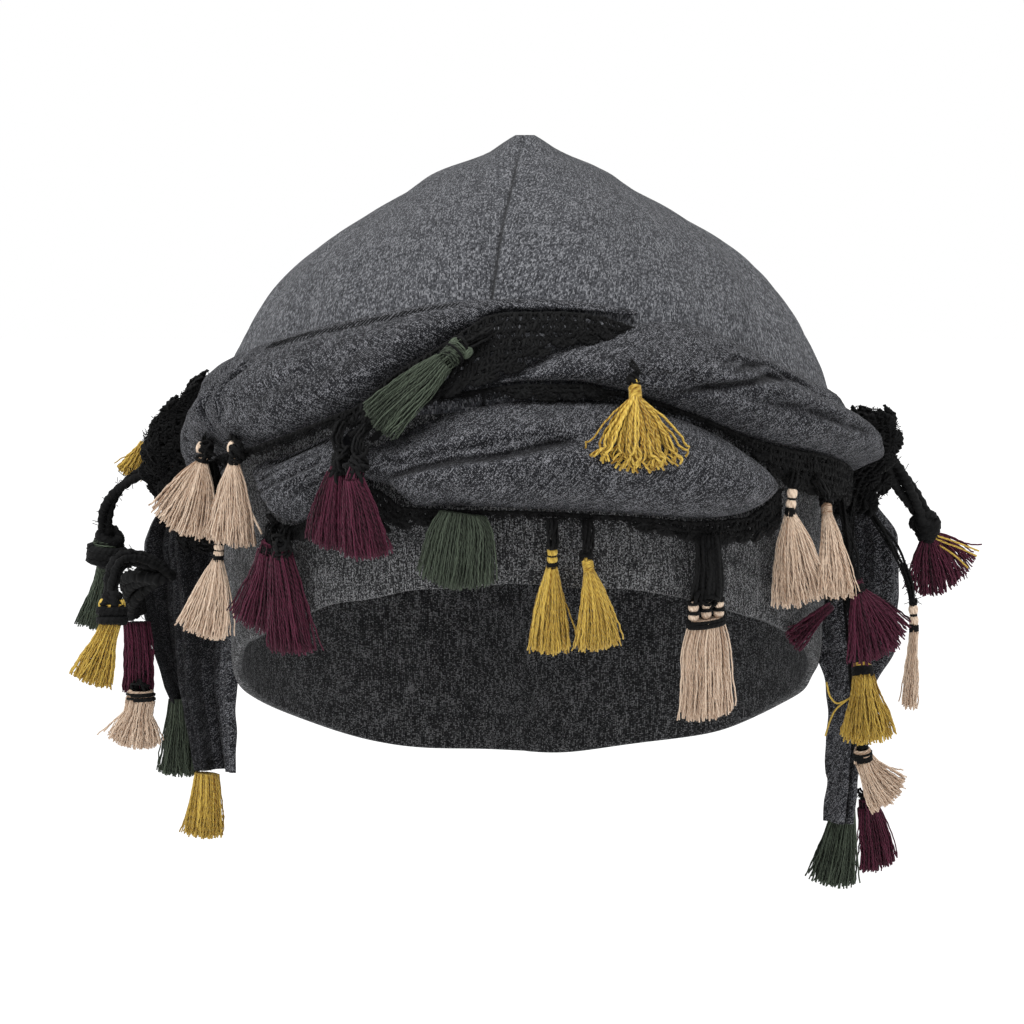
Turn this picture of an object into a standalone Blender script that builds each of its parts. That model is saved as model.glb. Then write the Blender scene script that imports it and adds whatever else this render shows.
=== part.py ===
"""Turban cap: a pointed jersey cap with a scarf wound round it, lace along the scarf's edge and yarn tassels.

Metres, +Z up. The wearer faces -Y. The origin is the middle of the head opening, level with its sides.
A place on the cap is given by azimuth, in degrees from the middle of the brow, positive towards +X,
and by height above the origin. Tables give heights as shares of CROWN_HEIGHT.
"""

import bisect
import collections
import dataclasses
import math

import bmesh
import bpy
from mathutils import Vector
from mathutils.bvhtree import BVHTree

# Driving sizes of the jersey cap
CROWN_HEIGHT = 0.147
CROWN_HALF_WIDTH = 0.086
CROWN_HALF_DEPTH = 0.102
CROWN_WALL = 0.0018
BROW_RISE = 0.0355
NAPE_DROP = 0.033
JOINT_AT_BROW = 0.079
JOINT_AT_NAPE = 0.027
BAND_WALL = 0.0026
SEAM_DEPTH = 0.0010
SEAM_HALF_WIDTH = 0.0026
DENT_DEPTH = 0.0030

# Driving sizes of the scarf and its ends
ROLL_BULGE = 0.0125
CLOTH_EDGE = 0.0016
FOLD_DEPTH = 0.0034
TAIL_DROP = 0.0810
TAIL_WIDTH = 0.0215
TAIL_WALL = 0.0018
TAIL_FOLD_DEPTH = 0.0064
TAIL_TWIST = 69.0

# Driving sizes of the lace and the tassels
LACE_THICKNESS = 0.0024
SIDE_LACE_THICKNESS = 0.0042
SCALLOP_PITCH = 0.0062
SCALLOP_RISE = 0.0016
TASSEL_LENGTH = 0.0230
TASSEL_HALF_WIDTH = 0.0066
TASSEL_HALF_THICKNESS = 0.0030
HEAD_LENGTH = 0.0050
HEAD_HALF_WIDTH = 0.0027
THREAD_HALF_WIDTH = 0.0015
THREAD_HALF_THICKNESS = 0.0012

# Clearances between neighbouring pieces
SEAT_GAP = 0.0008
SEWN_GAP = 0.0003
TASSEL_GAP = 0.0004

# Numbers of facets
CROWN_SEGMENTS = 40
CROWN_LOWER_ROWS = 3
BAND_ROWS = 2
ROLL_STEP = 7.5
ROLL_POINTS_OUT = 13
ROLL_POINTS_IN = 6
TASSEL_LOCKS = 5
THREAD_SECTIONS = 2
TAIL_FOLDS = 4
TAIL_ROWS = 7
SHARP_ANGLE = 50.0

# The cap's outline: height as a share of CROWN_HEIGHT, half width and half depth as shares of theirs
SHELL_COLUMNS = ("height", "width", "depth")
SHELL_SECTIONS = (
    (-0.35, 0.880, 0.890),
    (0.000, 0.915, 0.930),
    (0.240, 0.945, 0.962),
    (0.450, 0.965, 0.972),
    (0.550, 0.940, 0.945),
    (0.650, 0.862, 0.870),
    (0.735, 0.757, 0.775),
    (0.810, 0.617, 0.645),
    (0.860, 0.490, 0.520),
    (0.905, 0.345, 0.380),
    (0.940, 0.240, 0.265),
    (0.968, 0.135, 0.150),
    (0.988, 0.070, 0.078),
    (1.000, 0.030, 0.034),
)

# Above this share of CROWN_HEIGHT the crown has one ring of facets for each section above
RINGS_ABOVE = 0.70

# Azimuths of the two seams that join the crown's halves
CROWN_SEAMS = (-7.5, 172.5)

# Soft dents in the crown: where they lie, how far they reach, and their depth as a share of DENT_DEPTH
DENT_COLUMNS = ("azimuth", "height", "reach_azimuth", "reach_height", "depth")
CROWN_DENTS = (
    (-78.0, 0.955, 34.0, 0.030, 1.00),
    (-66.0, 0.895, 24.0, 0.028, -0.60),
    (84.0, 0.968, 40.0, 0.022, 0.45),
    (34.0, 0.800, 16.0, 0.060, 0.45),
    (-34.0, 0.780, 14.0, 0.070, 0.35),
    (140.0, 0.820, 24.0, 0.070, 0.60),
    (-150.0, 0.760, 26.0, 0.080, 0.50),
)

# The scarf's rolls: low and high edge, and bulge as a share of ROLL_BULGE
ROLL_COLUMNS = ("azimuth", "low", "high", "bulge")
ROLLS = {
    "wrap_upper": (
        (22.5, 0.693, 0.703, 0.06),
        (7.5, 0.704, 0.720, 0.12),
        (-4.0, 0.704, 0.722, 0.18),
        (-11.0, 0.674, 0.720, 0.38),
        (-18.0, 0.630, 0.714, 0.62),
        (-23.0, 0.595, 0.708, 0.72),
        (-27.0, 0.553, 0.702, 0.85),
        (-37.0, 0.508, 0.684, 0.95),
        (-48.0, 0.466, 0.662, 0.90),
        (-60.0, 0.445, 0.634, 0.78),
        (-75.0, 0.398, 0.600, 0.62),
        (-90.0, 0.345, 0.575, 0.56),
        (-120.0, 0.255, 0.540, 0.90),
        (-150.0, 0.165, 0.500, 1.05),
        (-179.7, 0.110, 0.480, 0.80),
    ),
    "wrap_right": (
        (-7.5, 0.578, 0.585, 0.06),
        (0.0, 0.587, 0.612, 0.36),
        (7.5, 0.587, 0.646, 0.60),
        (15.0, 0.574, 0.660, 0.76),
        (22.5, 0.552, 0.680, 0.88),
        (30.0, 0.525, 0.681, 0.92),
        (37.0, 0.498, 0.668, 0.92),
        (45.0, 0.474, 0.640, 0.90),
        (60.0, 0.442, 0.580, 0.88),
        (80.0, 0.402, 0.532, 0.92),
        (90.0, 0.375, 0.520, 0.94),
        (120.0, 0.265, 0.515, 1.05),
        (150.0, 0.165, 0.492, 1.05),
        (179.7, 0.110, 0.480, 0.80),
    ),
    "wrap_lower": (
        (-29.0, 0.420, 0.462, 0.25),
        (-22.0, 0.408, 0.490, 0.75),
        (-18.0, 0.376, 0.512, 0.92),
        (-12.0, 0.379, 0.534, 1.05),
        (0.0, 0.375, 0.555, 1.16),
        (13.0, 0.368, 0.552, 1.22),
        (23.0, 0.357, 0.534, 1.24),
        (33.0, 0.349, 0.496, 1.14),
        (38.0, 0.352, 0.468, 0.95),
        (42.0, 0.368, 0.440, 0.66),
        (44.5, 0.392, 0.412, 0.22),
    ),
    "wrap_pleats": (
        (-51.0, 0.396, 0.436, 0.35),
        (-47.0, 0.356, 0.444, 0.62),
        (-43.0, 0.332, 0.456, 0.78),
        (-37.0, 0.352, 0.482, 0.80),
        (-31.0, 0.384, 0.502, 0.60),
    ),
}

# Short rolls have stations this close, in degrees
ROLL_STEPS = {"wrap_lower": 4.9, "wrap_pleats": 4.0}

# Shape of a roll's section: below 1, the first moves its crest down, and the second fills it out
ROLL_CREST = 0.85
ROLL_FULLNESS = 0.80

# Folds in the rolls: grooves from one azimuth to the other, at shares of the roll's width.
# Depth is a share of FOLD_DEPTH and reach a share of the roll's width
FOLD_COLUMNS = ("azimuth_1", "azimuth_2", "share_1", "share_2", "depth", "reach")
FOLDS = {
    "wrap_upper": (
        (-20.0, -62.0, 0.62, 0.34, 0.45, 0.09),
        (-56.0, -82.0, 0.95, 0.10, 1.00, 0.10),
        (-62.0, -100.0, 0.86, 0.60, 0.60, 0.09),
        (-84.0, -181.0, 0.34, 0.30, 0.80, 0.10),
        (-96.0, -181.0, 0.68, 0.66, 0.85, 0.10),
    ),
    "wrap_right": (
        (12.0, 66.0, 0.30, 0.42, 0.75, 0.10),
        (30.0, 78.0, 0.66, 0.72, 0.65, 0.09),
        (84.0, 181.0, 0.36, 0.32, 0.85, 0.10),
        (70.0, 181.0, 0.72, 0.66, 0.80, 0.10),
    ),
    "wrap_lower": (
        (-24.0, 12.0, 0.52, 0.70, 0.95, 0.08),
    ),
    "wrap_pleats": (
        (-52.0, -30.0, 0.30, 0.36, 0.55, 0.09),
        (-52.0, -30.0, 0.56, 0.66, 0.60, 0.09),
    ),
}

# A fold fades in and out over this share of its length, and leaves this share of CLOTH_EDGE
FOLD_FADE = 0.17
FOLD_FLOOR = 0.80

# Lace along the lower edges of the rolls: stand is its distance from the cap, as a share of ROLL_BULGE
LACE_COLUMNS = ("azimuth", "low", "high", "stand")
LACES = {
    "lace_upper": (
        (22.0, 0.685, 0.689, 0.10),
        (14.0, 0.666, 0.697, 0.25),
        (6.0, 0.651, 0.699, 0.40),
        (-1.0, 0.617, 0.699, 0.45),
        (-6.0, 0.590, 0.695, 0.45),
        (-10.0, 0.578, 0.674, 0.50),
        (-15.0, 0.556, 0.640, 0.55),
        (-19.0, 0.526, 0.615, 0.55),
        (-23.0, 0.503, 0.586, 0.50),
        (-27.0, 0.500, 0.545, 0.50),
        (-32.0, 0.510, 0.522, 0.50),
        (-40.0, 0.478, 0.490, 0.50),
        (-50.0, 0.448, 0.458, 0.45),
        (-62.0, 0.424, 0.434, 0.38),
        (-72.0, 0.392, 0.402, 0.30),
    ),
    "lace_right": (
        (-8.0, 0.562, 0.571, 0.20),
        (0.0, 0.562, 0.580, 0.24),
        (9.0, 0.561, 0.580, 0.24),
        (14.0, 0.558, 0.569, 0.20),
        (20.0, 0.548, 0.555, 0.18),
        (27.0, 0.525, 0.532, 0.16),
        (34.0, 0.498, 0.505, 0.16),
        (40.0, 0.462, 0.480, 0.20),
        (48.0, 0.405, 0.458, 0.26),
        (60.0, 0.370, 0.437, 0.26),
        (76.0, 0.345, 0.404, 0.24),
        (92.0, 0.318, 0.366, 0.20),
    ),
    "lace_lower": (
        (-49.0, 0.330, 0.344, 0.18),
        (-44.0, 0.309, 0.325, 0.22),
        (-37.0, 0.320, 0.346, 0.24),
        (-31.0, 0.335, 0.376, 0.24),
        (-25.0, 0.338, 0.400, 0.24),
        (-20.0, 0.342, 0.372, 0.26),
        (-13.0, 0.356, 0.371, 0.28),
        (0.0, 0.356, 0.369, 0.28),
        (13.0, 0.348, 0.361, 0.28),
        (23.0, 0.330, 0.350, 0.28),
        (30.0, 0.312, 0.343, 0.28),
        (38.0, 0.308, 0.343, 0.26),
        (43.0, 0.312, 0.360, 0.24),
        (48.0, 0.322, 0.388, 0.20),
    ),
}

# Lace that runs down the sides, over the rolls: azimuth of its middle and half its span, in degrees,
# and thickness as a share of SIDE_LACE_THICKNESS
SIDE_LACE_COLUMNS = ("height", "azimuth", "half_span", "thickness")
SIDE_LACES = {
    "lace_left_side": (
        (0.590, -99.0, 2.6, 0.9),
        (0.540, -100.0, 4.2, 1.7),
        (0.440, -101.0, 4.6, 2.2),
        (0.330, -101.0, 4.6, 1.9),
        (0.250, -100.0, 4.2, 1.5),
        (0.215, -100.0, 3.2, 1.1),
    ),
    "lace_right_side": (
        (0.540, 98.0, 2.6, 0.9),
        (0.490, 99.0, 4.0, 1.4),
        (0.410, 100.0, 4.6, 1.5),
        (0.330, 101.0, 4.4, 1.3),
        (0.270, 101.0, 3.2, 1.0),
    ),
}

# The most that a scallop may take of its strip's height
SCALLOP_SHARE = 0.40

# How far hanging lace and yarn may come in again below what they hang over, as a share of the way down,
# and how far yarn may rise over it
LACE_RETURN = 0.45
YARN_RETURN = 0.25
YARN_RISE = 1.40

# Scarf ends that hang below a roll: drop as a share of TAIL_DROP, width and out as shares of TAIL_WIDTH,
# back as degrees towards the nape. Slant is how much shorter the outer edge is. A top edge is found on the
# lowest share of its roll, by halving
TAIL_COLUMNS = ("drop", "width", "out", "back")
UNDERSIDE_SHARE = 0.30
UNDERSIDE_HALVINGS = 20
TAILS = {
    "tail_left": {
        "roll": "wrap_upper",
        "azimuth": -110.0,
        "slant": 0.46,
        "sections": (
            (0.00, 0.80, 0.08, 0.0),
            (0.15, 0.98, 0.10, 0.0),
            (0.40, 1.00, 0.14, 0.5),
            (0.66, 0.92, 0.24, 1.5),
            (0.89, 0.40, 0.82, 2.0),
        ),
    },
    "tail_right": {
        "roll": "wrap_right",
        "azimuth": 110.0,
        "slant": 0.0,
        "sections": (
            (0.00, 0.85, 0.06, 0.0),
            (0.15, 1.25, 0.06, 0.0),
            (0.38, 1.20, 0.10, 0.5),
            (0.62, 0.92, 0.28, 1.5),
            (0.84, 0.62, 0.66, 2.5),
            (1.00, 0.50, 0.92, 3.0),
        ),
    },
}

# A tassel from its threads down: the way down and the sizes as shares of the head's or the skirt's own
TASSEL_HEAD_COLUMNS = ("along", "width")
TASSEL_HEAD = (
    (0.00, 0.62),
    (0.45, 1.00),
    (0.95, 0.78),
)
TASSEL_SKIRT_COLUMNS = ("along", "width", "thickness")
TASSEL_SKIRT = (
    (0.26, 0.66, 0.95),
    (0.62, 0.90, 1.00),
    (1.00, 1.00, 0.70),
)

# Tassels. The threads leave their carrier at root, and hold a head at azimuth and height. Root is an azimuth
# on a roll or on the lace along it, a height on side lace, and a share of the width of a scarf end, where the
# head hangs below. The skirt hangs from the head, leaning round the cap by lean and away from it by out, in
# degrees. Length, width and thick are shares of the tassel's own sizes. Stand is the head's least distance
# from the cap, as a share of ROLL_BULGE. Turn is how far the skirt's width is turned to point away from the cap.
# Each tassel lies on those above it in the table, where they cross
TASSEL_COLUMNS = (
    "name", "carrier", "root", "azimuth", "height", "lean", "out", "length", "width", "thick", "stand", "turn",
)
TASSELS = (
    ("tassel_02_plum", "lace_upper", -29.4, -27.8, 0.465, -15.4, 3.0, 1.05, 0.74, 0.9, 0.00, -14.0),
    ("tassel_03_plum", "lace_upper", -25.0, -24.1, 0.461, -1.1, 3.0, 1.07, 0.75, 0.9, 0.00, -12.0),
    ("tassel_01_green", "lace_upper", -6.0, -10.3, 0.646, -40.6, 2.0, 1.08, 0.82, 1.0, 0.00, 0.0),
    ("tassel_06_beige", "lace_upper", -63.0, -61.9, 0.271, -6.0, 12.5, 1.05, 1.22, 0.9, 0.70, -36.0),
    ("tassel_04_beige", "lace_upper", -66.0, -61.2, 0.446, -16.0, 21.7, 1.13, 1.19, 1.0, 0.80, -40.0),
    ("tassel_05_beige", "lace_upper", -58.0, -50.8, 0.452, -12.6, 1.0, 1.10, 1.05, 1.0, 0.80, -36.0),
    ("tassel_07_plum", "lace_lower", -46.8, -46.2, 0.287, -25.1, 4.0, 1.06, 0.78, 1.0, 0.00, -28.0),
    ("tassel_08_plum", "lace_lower", -42.4, -42.4, 0.292, -6.6, 4.0, 1.18, 0.86, 1.0, 0.00, -26.0),
    ("tassel_09_green", "lace_lower", -9.0, -9.2, 0.381, -13.5, 4.0, 0.91, 1.11, 0.9, 0.00, 0.0),
    ("tassel_10_mustard", "lace_lower", 4.0, 4.1, 0.287, -0.5, 3.0, 1.00, 0.73, 0.9, 0.00, 0.0),
    ("tassel_11_mustard", "lace_lower", 9.6, 9.5, 0.286, 6.6, 3.0, 0.93, 0.75, 0.9, 0.00, 0.0),
    ("tassel_12_mustard", "wrap_right", 16.4, 15.8, 0.596, -4.9, 4.0, 0.96, 1.65, 0.9, 0.00, 0.0),
    ("tassel_13_beige", "lace_lower", 30.0, 31.7, 0.196, 5.7, 2.0, 1.23, 1.09, 1.0, 0.00, 16.0),
    ("tassel_17_plum", "lace_right", 61.5, 68.3, 0.169, -65.6, 4.0, 0.93, 0.46, 0.8, 0.00, 30.0),
    ("tassel_19_mustard", "lace_right", 88.0, 80.0, 0.036, -7.8, 4.0, 0.93, 1.20, 1.1, 1.08, 60.0),
    ("tassel_16_plum", "lace_right", 68.0, 64.7, 0.205, 10.0, 17.0, 0.96, 1.57, 1.0, 1.10, 42.0),
    ("tassel_14_beige", "lace_right", 49.0, 48.4, 0.351, 14.9, 6.0, 1.09, 0.84, 0.9, 0.30, 30.0),
    ("tassel_15_beige", "lace_right", 55.5, 60.1, 0.344, -24.2, 6.0, 1.09, 0.84, 0.9, 0.60, 34.0),
    ("tassel_18_plum", "lace_right_side", 0.400, 104.0, 0.261, 4.0, 24.1, 0.89, 1.93, 0.9, 2.59, 80.0),
    ("tassel_20_beige", "lace_right", 91.0, 86.0, -0.129, 10.0, 15.3, 0.72, 1.19, 1.0, 1.26, 60.0),
    ("tassel_21_plum", "tail_right", 0.73, 0.0, 0.000, 6.0, 18.1, 0.82, 0.95, 1.0, 0.00, 85.0),
    ("tassel_22_green", "tail_right", 0.15, 0.0, 0.000, -6.0, -12.0, 0.97, 1.11, 1.0, 0.00, 85.0),
    ("tassel_23_beige", "lace_right_side", 0.285, 98.0, 0.112, 0.0, 3.2, 1.13, 0.41, 0.8, 2.15, 80.0),
    ("tassel_24_mustard", "lace_left_side", 0.450, -112.0, 0.415, -4.0, 36.7, 0.56, 0.47, 0.8, 2.55, 80.0),
    ("tassel_27_plum", "lace_left_side", 0.235, -107.0, 0.074, -2.0, 0.8, 0.85, 0.63, 1.0, 2.70, 80.0),
    ("tassel_28_beige", "lace_left_side", 0.225, -100.0, -0.043, 0.0, 11.8, 0.62, 1.03, 1.0, 2.35, 80.0),
    ("tassel_26_mustard", "lace_left_side", 0.250, -93.0, 0.134, 3.0, 10.3, 1.08, 1.10, 1.0, 2.68, 80.0),
    ("tassel_25_green", "lace_left_side", 0.380, -103.0, 0.241, -3.0, 17.5, 1.11, 0.66, 1.0, 2.95, 80.0),
    ("tassel_29_green", "tail_left", 0.95, 0.0, 0.000, 5.0, 3.0, 0.74, 0.75, 1.0, 0.00, 85.0),
    ("tassel_30_mustard", "tail_left", 0.15, 0.0, 0.000, -3.0, 7.3, 0.67, 0.80, 1.0, 0.00, 85.0),
)

# The least length of a thread
SHORT_THREAD = 0.0040

# Places on each stretch of a tassel where its clearance is found, and how often it is moved for them
REST_SAMPLES = 8
REST_ROUNDS = 12

# Places on a thread's upper stretch where its clearance is found as it is drawn in, and the last one's share
SEWN_SAMPLES = 6
SEWN_REACH = 0.85

# Between two locks a skirt has this share of its size. Its tips rise and fall by a share of TASSEL_LENGTH,
# with a step in radians from one to the next
LOCK_VALLEY = 0.78
TIP_RISE = 0.045
TIP_STEP = 2.3

# Plain finishes: colour, roughness
FINISHES = {
    "jersey": ((0.085, 0.088, 0.095), 0.90),
    "scarf": ((0.100, 0.103, 0.112), 0.92),
    "lace": ((0.012, 0.012, 0.014), 0.85),
    "beige": ((0.560, 0.380, 0.270), 0.80),
    "mustard": ((0.420, 0.280, 0.040), 0.80),
    "plum": ((0.090, 0.014, 0.040), 0.80),
    "green": ((0.040, 0.060, 0.050), 0.80),
}


@dataclasses.dataclass
class Station:
    """A tassel's section: its place on the cap, its size, its tilt and its distance from the head's top."""

    azimuth: float
    height: float
    offset: float
    half_width: float
    half_thickness: float
    lean: float
    turn: float
    along: float


def named_rows(columns, table):
    row_type = collections.namedtuple("Row", columns)
    return [row_type(*row) for row in table]


def limited_slopes(places, values):
    """Slopes of a smooth curve through the values that never swings past them."""
    pairs = zip(zip(places, values), zip(places[1:], values[1:]))
    steps = [(second[1] - first[1]) / (second[0] - first[0]) for first, second in pairs]
    inner = [2.0 * one * two / (one + two) if one * two > 0.0 else 0.0 for one, two in zip(steps, steps[1:])]
    return [steps[0]] + inner + [steps[-1]]


def curve_through(columns, table):
    """A function that reads a table's other columns at any place along its first one, smoothly."""
    row_type = collections.namedtuple("Row", columns[1:])
    rows = sorted(table)
    places = [row[0] for row in rows]
    curves = [[row[index] for row in rows] for index in range(1, len(columns))]
    slopes = [limited_slopes(places, values) for values in curves]

    def read(place):
        place = min(max(place, places[0]), places[-1])
        after = min(bisect.bisect_right(places, place), len(places) - 1)
        before = after - 1
        span = places[after] - places[before]
        way = (place - places[before]) / span
        left = 1.0 - way
        return row_type(*[
            values[before] * (1.0 + 2.0 * way) * left ** 2
            + slope[before] * span * way * left ** 2
            + values[after] * way ** 2 * (3.0 - 2.0 * way)
            - slope[after] * span * way ** 2 * left
            for values, slope in zip(curves, slopes)
        ])

    return read


def blend(first, second, share):
    return first + (second - first) * share


def steps_between(first, last, count):
    return [blend(first, last, index / count) for index in range(count + 1)]


def turned(azimuth, other):
    """The turn from one azimuth to another, between -180 and 180 degrees."""
    return (azimuth - other + 180.0) % 360.0 - 180.0


read_shell = curve_through(SHELL_COLUMNS, SHELL_SECTIONS)
read_rolls = {name: curve_through(ROLL_COLUMNS, table) for name, table in ROLLS.items()}
read_laces = {name: curve_through(LACE_COLUMNS, table) for name, table in LACES.items()}
read_side_laces = {name: curve_through(SIDE_LACE_COLUMNS, table) for name, table in SIDE_LACES.items()}


def half_sizes(height):
    shell = read_shell(height / CROWN_HEIGHT)
    return CROWN_HALF_WIDTH * shell.width, CROWN_HALF_DEPTH * shell.depth


def dent_at(azimuth, height):
    total = 0.0
    for dent in named_rows(DENT_COLUMNS, CROWN_DENTS):
        across = turned(azimuth, dent.azimuth) / dent.reach_azimuth
        along = (height / CROWN_HEIGHT - dent.height) / dent.reach_height
        total += dent.depth * math.exp(-across ** 2 - along ** 2)
    return DENT_DEPTH * total


def outward(azimuth, height):
    half_width, half_depth = half_sizes(height)
    angle = math.radians(azimuth)
    return Vector((half_depth * math.sin(angle), -half_width * math.cos(angle), 0.0)).normalized()


def shell_point(azimuth, height, offset):
    """The point of the cap's outer face at a place, moved out level by the offset."""
    half_width, half_depth = half_sizes(height)
    angle = math.radians(azimuth)
    face = Vector((half_width * math.sin(angle), -half_depth * math.cos(angle), height))
    return face + outward(azimuth, height) * (offset - dent_at(azimuth, height))


def metres_per_degree(azimuth, height):
    half_width, half_depth = half_sizes(height)
    angle = math.radians(azimuth)
    return math.radians(1.0) * math.hypot(half_width * math.cos(angle), half_depth * math.sin(angle))


def tilted_level(azimuth, at_brow, at_nape):
    """The height of a tilted plane, level from side to side, at an azimuth."""
    return (at_brow + at_nape) / 2.0 + (at_brow - at_nape) / 2.0 * math.cos(math.radians(azimuth))


def finish(name):
    material = bpy.data.materials.get(name) or bpy.data.materials.new(name)
    material.use_nodes = True
    colour, roughness = FINISHES[name]
    shader = material.node_tree.nodes["Principled BSDF"]
    shader.inputs["Base Color"].default_value = (*colour, 1.0)
    shader.inputs["Roughness"].default_value = roughness
    shader.inputs["Metallic"].default_value = 0.0
    return material


built_faces = []


def add_object(name, mesh, material_name):
    data = bpy.data.meshes.new(name)
    built_faces.append(BVHTree.FromBMesh(mesh))
    mesh.to_mesh(data)
    mesh.free()
    data.shade_smooth()
    data.set_sharp_from_angle(angle=math.radians(SHARP_ANGLE))
    data.materials.append(finish(material_name))
    piece = bpy.data.objects.new(name, data)
    bpy.context.scene.collection.objects.link(piece)
    return piece


def bridged(rings, closed=False):
    """A mesh through rings of as many points each, capped at both ends unless it closes on itself."""
    mesh = bmesh.new()
    verts = [[mesh.verts.new(point) for point in ring] for ring in rings]
    count = len(rings[0])
    pairs = list(zip(verts, verts[1:]))
    if closed:
        pairs.append((verts[-1], verts[0]))
    for one, two in pairs:
        for index in range(count):
            after = (index + 1) % count
            mesh.faces.new((one[index], one[after], two[after], two[index]))
    if not closed:
        mesh.faces.new(reversed(verts[0]))
        mesh.faces.new(verts[-1])
    bmesh.ops.recalc_face_normals(mesh, faces=mesh.faces)
    if mesh.calc_volume(signed=True) < 0.0:
        bmesh.ops.reverse_faces(mesh, faces=mesh.faces)
    return mesh


def crown_azimuths():
    """Even azimuths, with three close ones at each seam."""
    even = [360.0 * index / CROWN_SEGMENTS for index in range(CROWN_SEGMENTS)]
    flank = math.degrees(SEAM_HALF_WIDTH / CROWN_HALF_DEPTH)
    kept = [azimuth for azimuth in even if all(abs(turned(azimuth, seam)) > 2.0 * flank for seam in CROWN_SEAMS)]
    for seam in CROWN_SEAMS:
        kept += [(seam + shift) % 360.0 for shift in (-flank, 0.0, flank)]
    return sorted(kept)


def build_crown():
    azimuths = crown_azimuths()
    seams = [seam % 360.0 for seam in CROWN_SEAMS]
    sections = named_rows(SHELL_COLUMNS, SHELL_SECTIONS)
    levels = [section.height * CROWN_HEIGHT for section in sections if section.height > RINGS_ABOVE]
    mesh = bmesh.new()
    rings = []
    for row in range(CROWN_LOWER_ROWS + len(levels)):
        ring = []
        for azimuth in azimuths:
            joint = tilted_level(azimuth, JOINT_AT_BROW, JOINT_AT_NAPE) + SEWN_GAP + 0.5 * CROWN_WALL
            if row < CROWN_LOWER_ROWS:
                height = blend(joint, levels[0], row / CROWN_LOWER_ROWS)
            else:
                height = levels[row - CROWN_LOWER_ROWS]
            groove = SEAM_DEPTH if azimuth in seams and height < levels[-1] else 0.0
            ring.append(mesh.verts.new(shell_point(azimuth, height, -groove)))
        rings.append(ring)
    for lower, upper in zip(rings, rings[1:]):
        for index in range(len(azimuths)):
            after = (index + 1) % len(azimuths)
            mesh.faces.new((lower[index], lower[after], upper[after], upper[index]))
    tip = mesh.verts.new((0.0, 0.0, levels[-1]))
    for index in range(len(azimuths)):
        after = (index + 1) % len(azimuths)
        mesh.faces.new((rings[-1][index], rings[-1][after], tip))
    piece = add_object("crown", mesh, "jersey")
    wall = piece.modifiers.new("Wall", "SOLIDIFY")
    wall.thickness = CROWN_WALL
    wall.offset = -1.0
    wall.use_even_offset = True
    return piece


def build_band():
    rings = []
    for azimuth in steps_between(0.0, 360.0, CROWN_SEGMENTS)[:-1]:
        rim = tilted_level(azimuth, BROW_RISE, -NAPE_DROP)
        joint = tilted_level(azimuth, JOINT_AT_BROW, JOINT_AT_NAPE)
        levels = steps_between(rim, joint, BAND_ROWS)
        outside = [shell_point(azimuth, height, 0.0) for height in levels]
        inside = [shell_point(azimuth, height, -BAND_WALL) for height in reversed(levels)]
        rings.append(outside + inside)
    return add_object("brow_band", bridged(rings, closed=True), "jersey")


def roll_offset(share, bulge):
    """How far a roll stands out, at a share of the way up it, before its folds."""
    fullness = math.sin(math.pi * min(max(share, 0.0), 1.0) ** ROLL_CREST) ** ROLL_FULLNESS
    return SEAT_GAP + CLOTH_EDGE + ROLL_BULGE * bulge * fullness


def fold_depth(name, azimuth, share):
    depth = 0.0
    for fold in named_rows(FOLD_COLUMNS, FOLDS[name]):
        way = (azimuth - fold.azimuth_1) / (fold.azimuth_2 - fold.azimuth_1)
        if 0.0 < way < 1.0:
            ends = min(1.0, way / FOLD_FADE, (1.0 - way) / FOLD_FADE)
            across = (share - blend(fold.share_1, fold.share_2, way)) / fold.reach
            depth += FOLD_DEPTH * fold.depth * ends * math.exp(-across ** 2)
    return depth


def build_roll(name):
    table = named_rows(ROLL_COLUMNS, ROLLS[name])
    first, last = table[0].azimuth, table[-1].azimuth
    count = math.ceil(abs(last - first) / ROLL_STEPS.get(name, ROLL_STEP))
    rings = []
    for azimuth in steps_between(first, last, count):
        roll = read_rolls[name](azimuth)
        ring = []
        for index in range(ROLL_POINTS_OUT):
            share = 0.5 - 0.5 * math.cos(math.pi * index / (ROLL_POINTS_OUT - 1))
            offset = roll_offset(share, roll.bulge) - fold_depth(name, azimuth, share)
            offset = max(offset, SEAT_GAP + FOLD_FLOOR * CLOTH_EDGE)
            ring.append(shell_point(azimuth, CROWN_HEIGHT * blend(roll.low, roll.high, share), offset))
        for share in steps_between(1.0, 0.0, ROLL_POINTS_IN - 1):
            ring.append(shell_point(azimuth, CROWN_HEIGHT * blend(roll.low, roll.high, share), SEAT_GAP))
        rings.append(ring)
    return add_object(name, bridged(rings), "scarf")


def lace_offset(stand):
    return SEAT_GAP + ROLL_BULGE * stand + LACE_THICKNESS


def build_lace(name):
    """A strip along a roll's lower edge, with one scallop for each pitch along its own lower edge."""
    table = named_rows(LACE_COLUMNS, LACES[name])
    first, last = table[0].azimuth, table[-1].azimuth
    length = abs(last - first) * metres_per_degree((first + last) / 2.0, CROWN_HEIGHT * table[0].low)
    rings = []
    for index, azimuth in enumerate(steps_between(first, last, 2 * round(length / SCALLOP_PITCH))):
        lace = read_laces[name](azimuth)
        low = CROWN_HEIGHT * lace.low
        high = CROWN_HEIGHT * lace.high
        rise = min(SCALLOP_RISE, SCALLOP_SHARE * (high - low)) * (index % 2)
        outer = lace_offset(lace.stand)
        inner = outer - LACE_THICKNESS
        corners = ((low + rise, outer), (high, outer), (high, inner), (low + rise, inner))
        rings.append([shell_point(azimuth, height, offset) for height, offset in corners])
    return add_object(name, bridged(rings), "lace")


def room_inwards(point, direction):
    """The distance from a point to the first face built so far in a direction."""
    hits = [faces.ray_cast(point, direction) for faces in built_faces]
    return min(distance for _, _, _, distance in hits if distance is not None)


covers = []
tassel_covers = []


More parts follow.
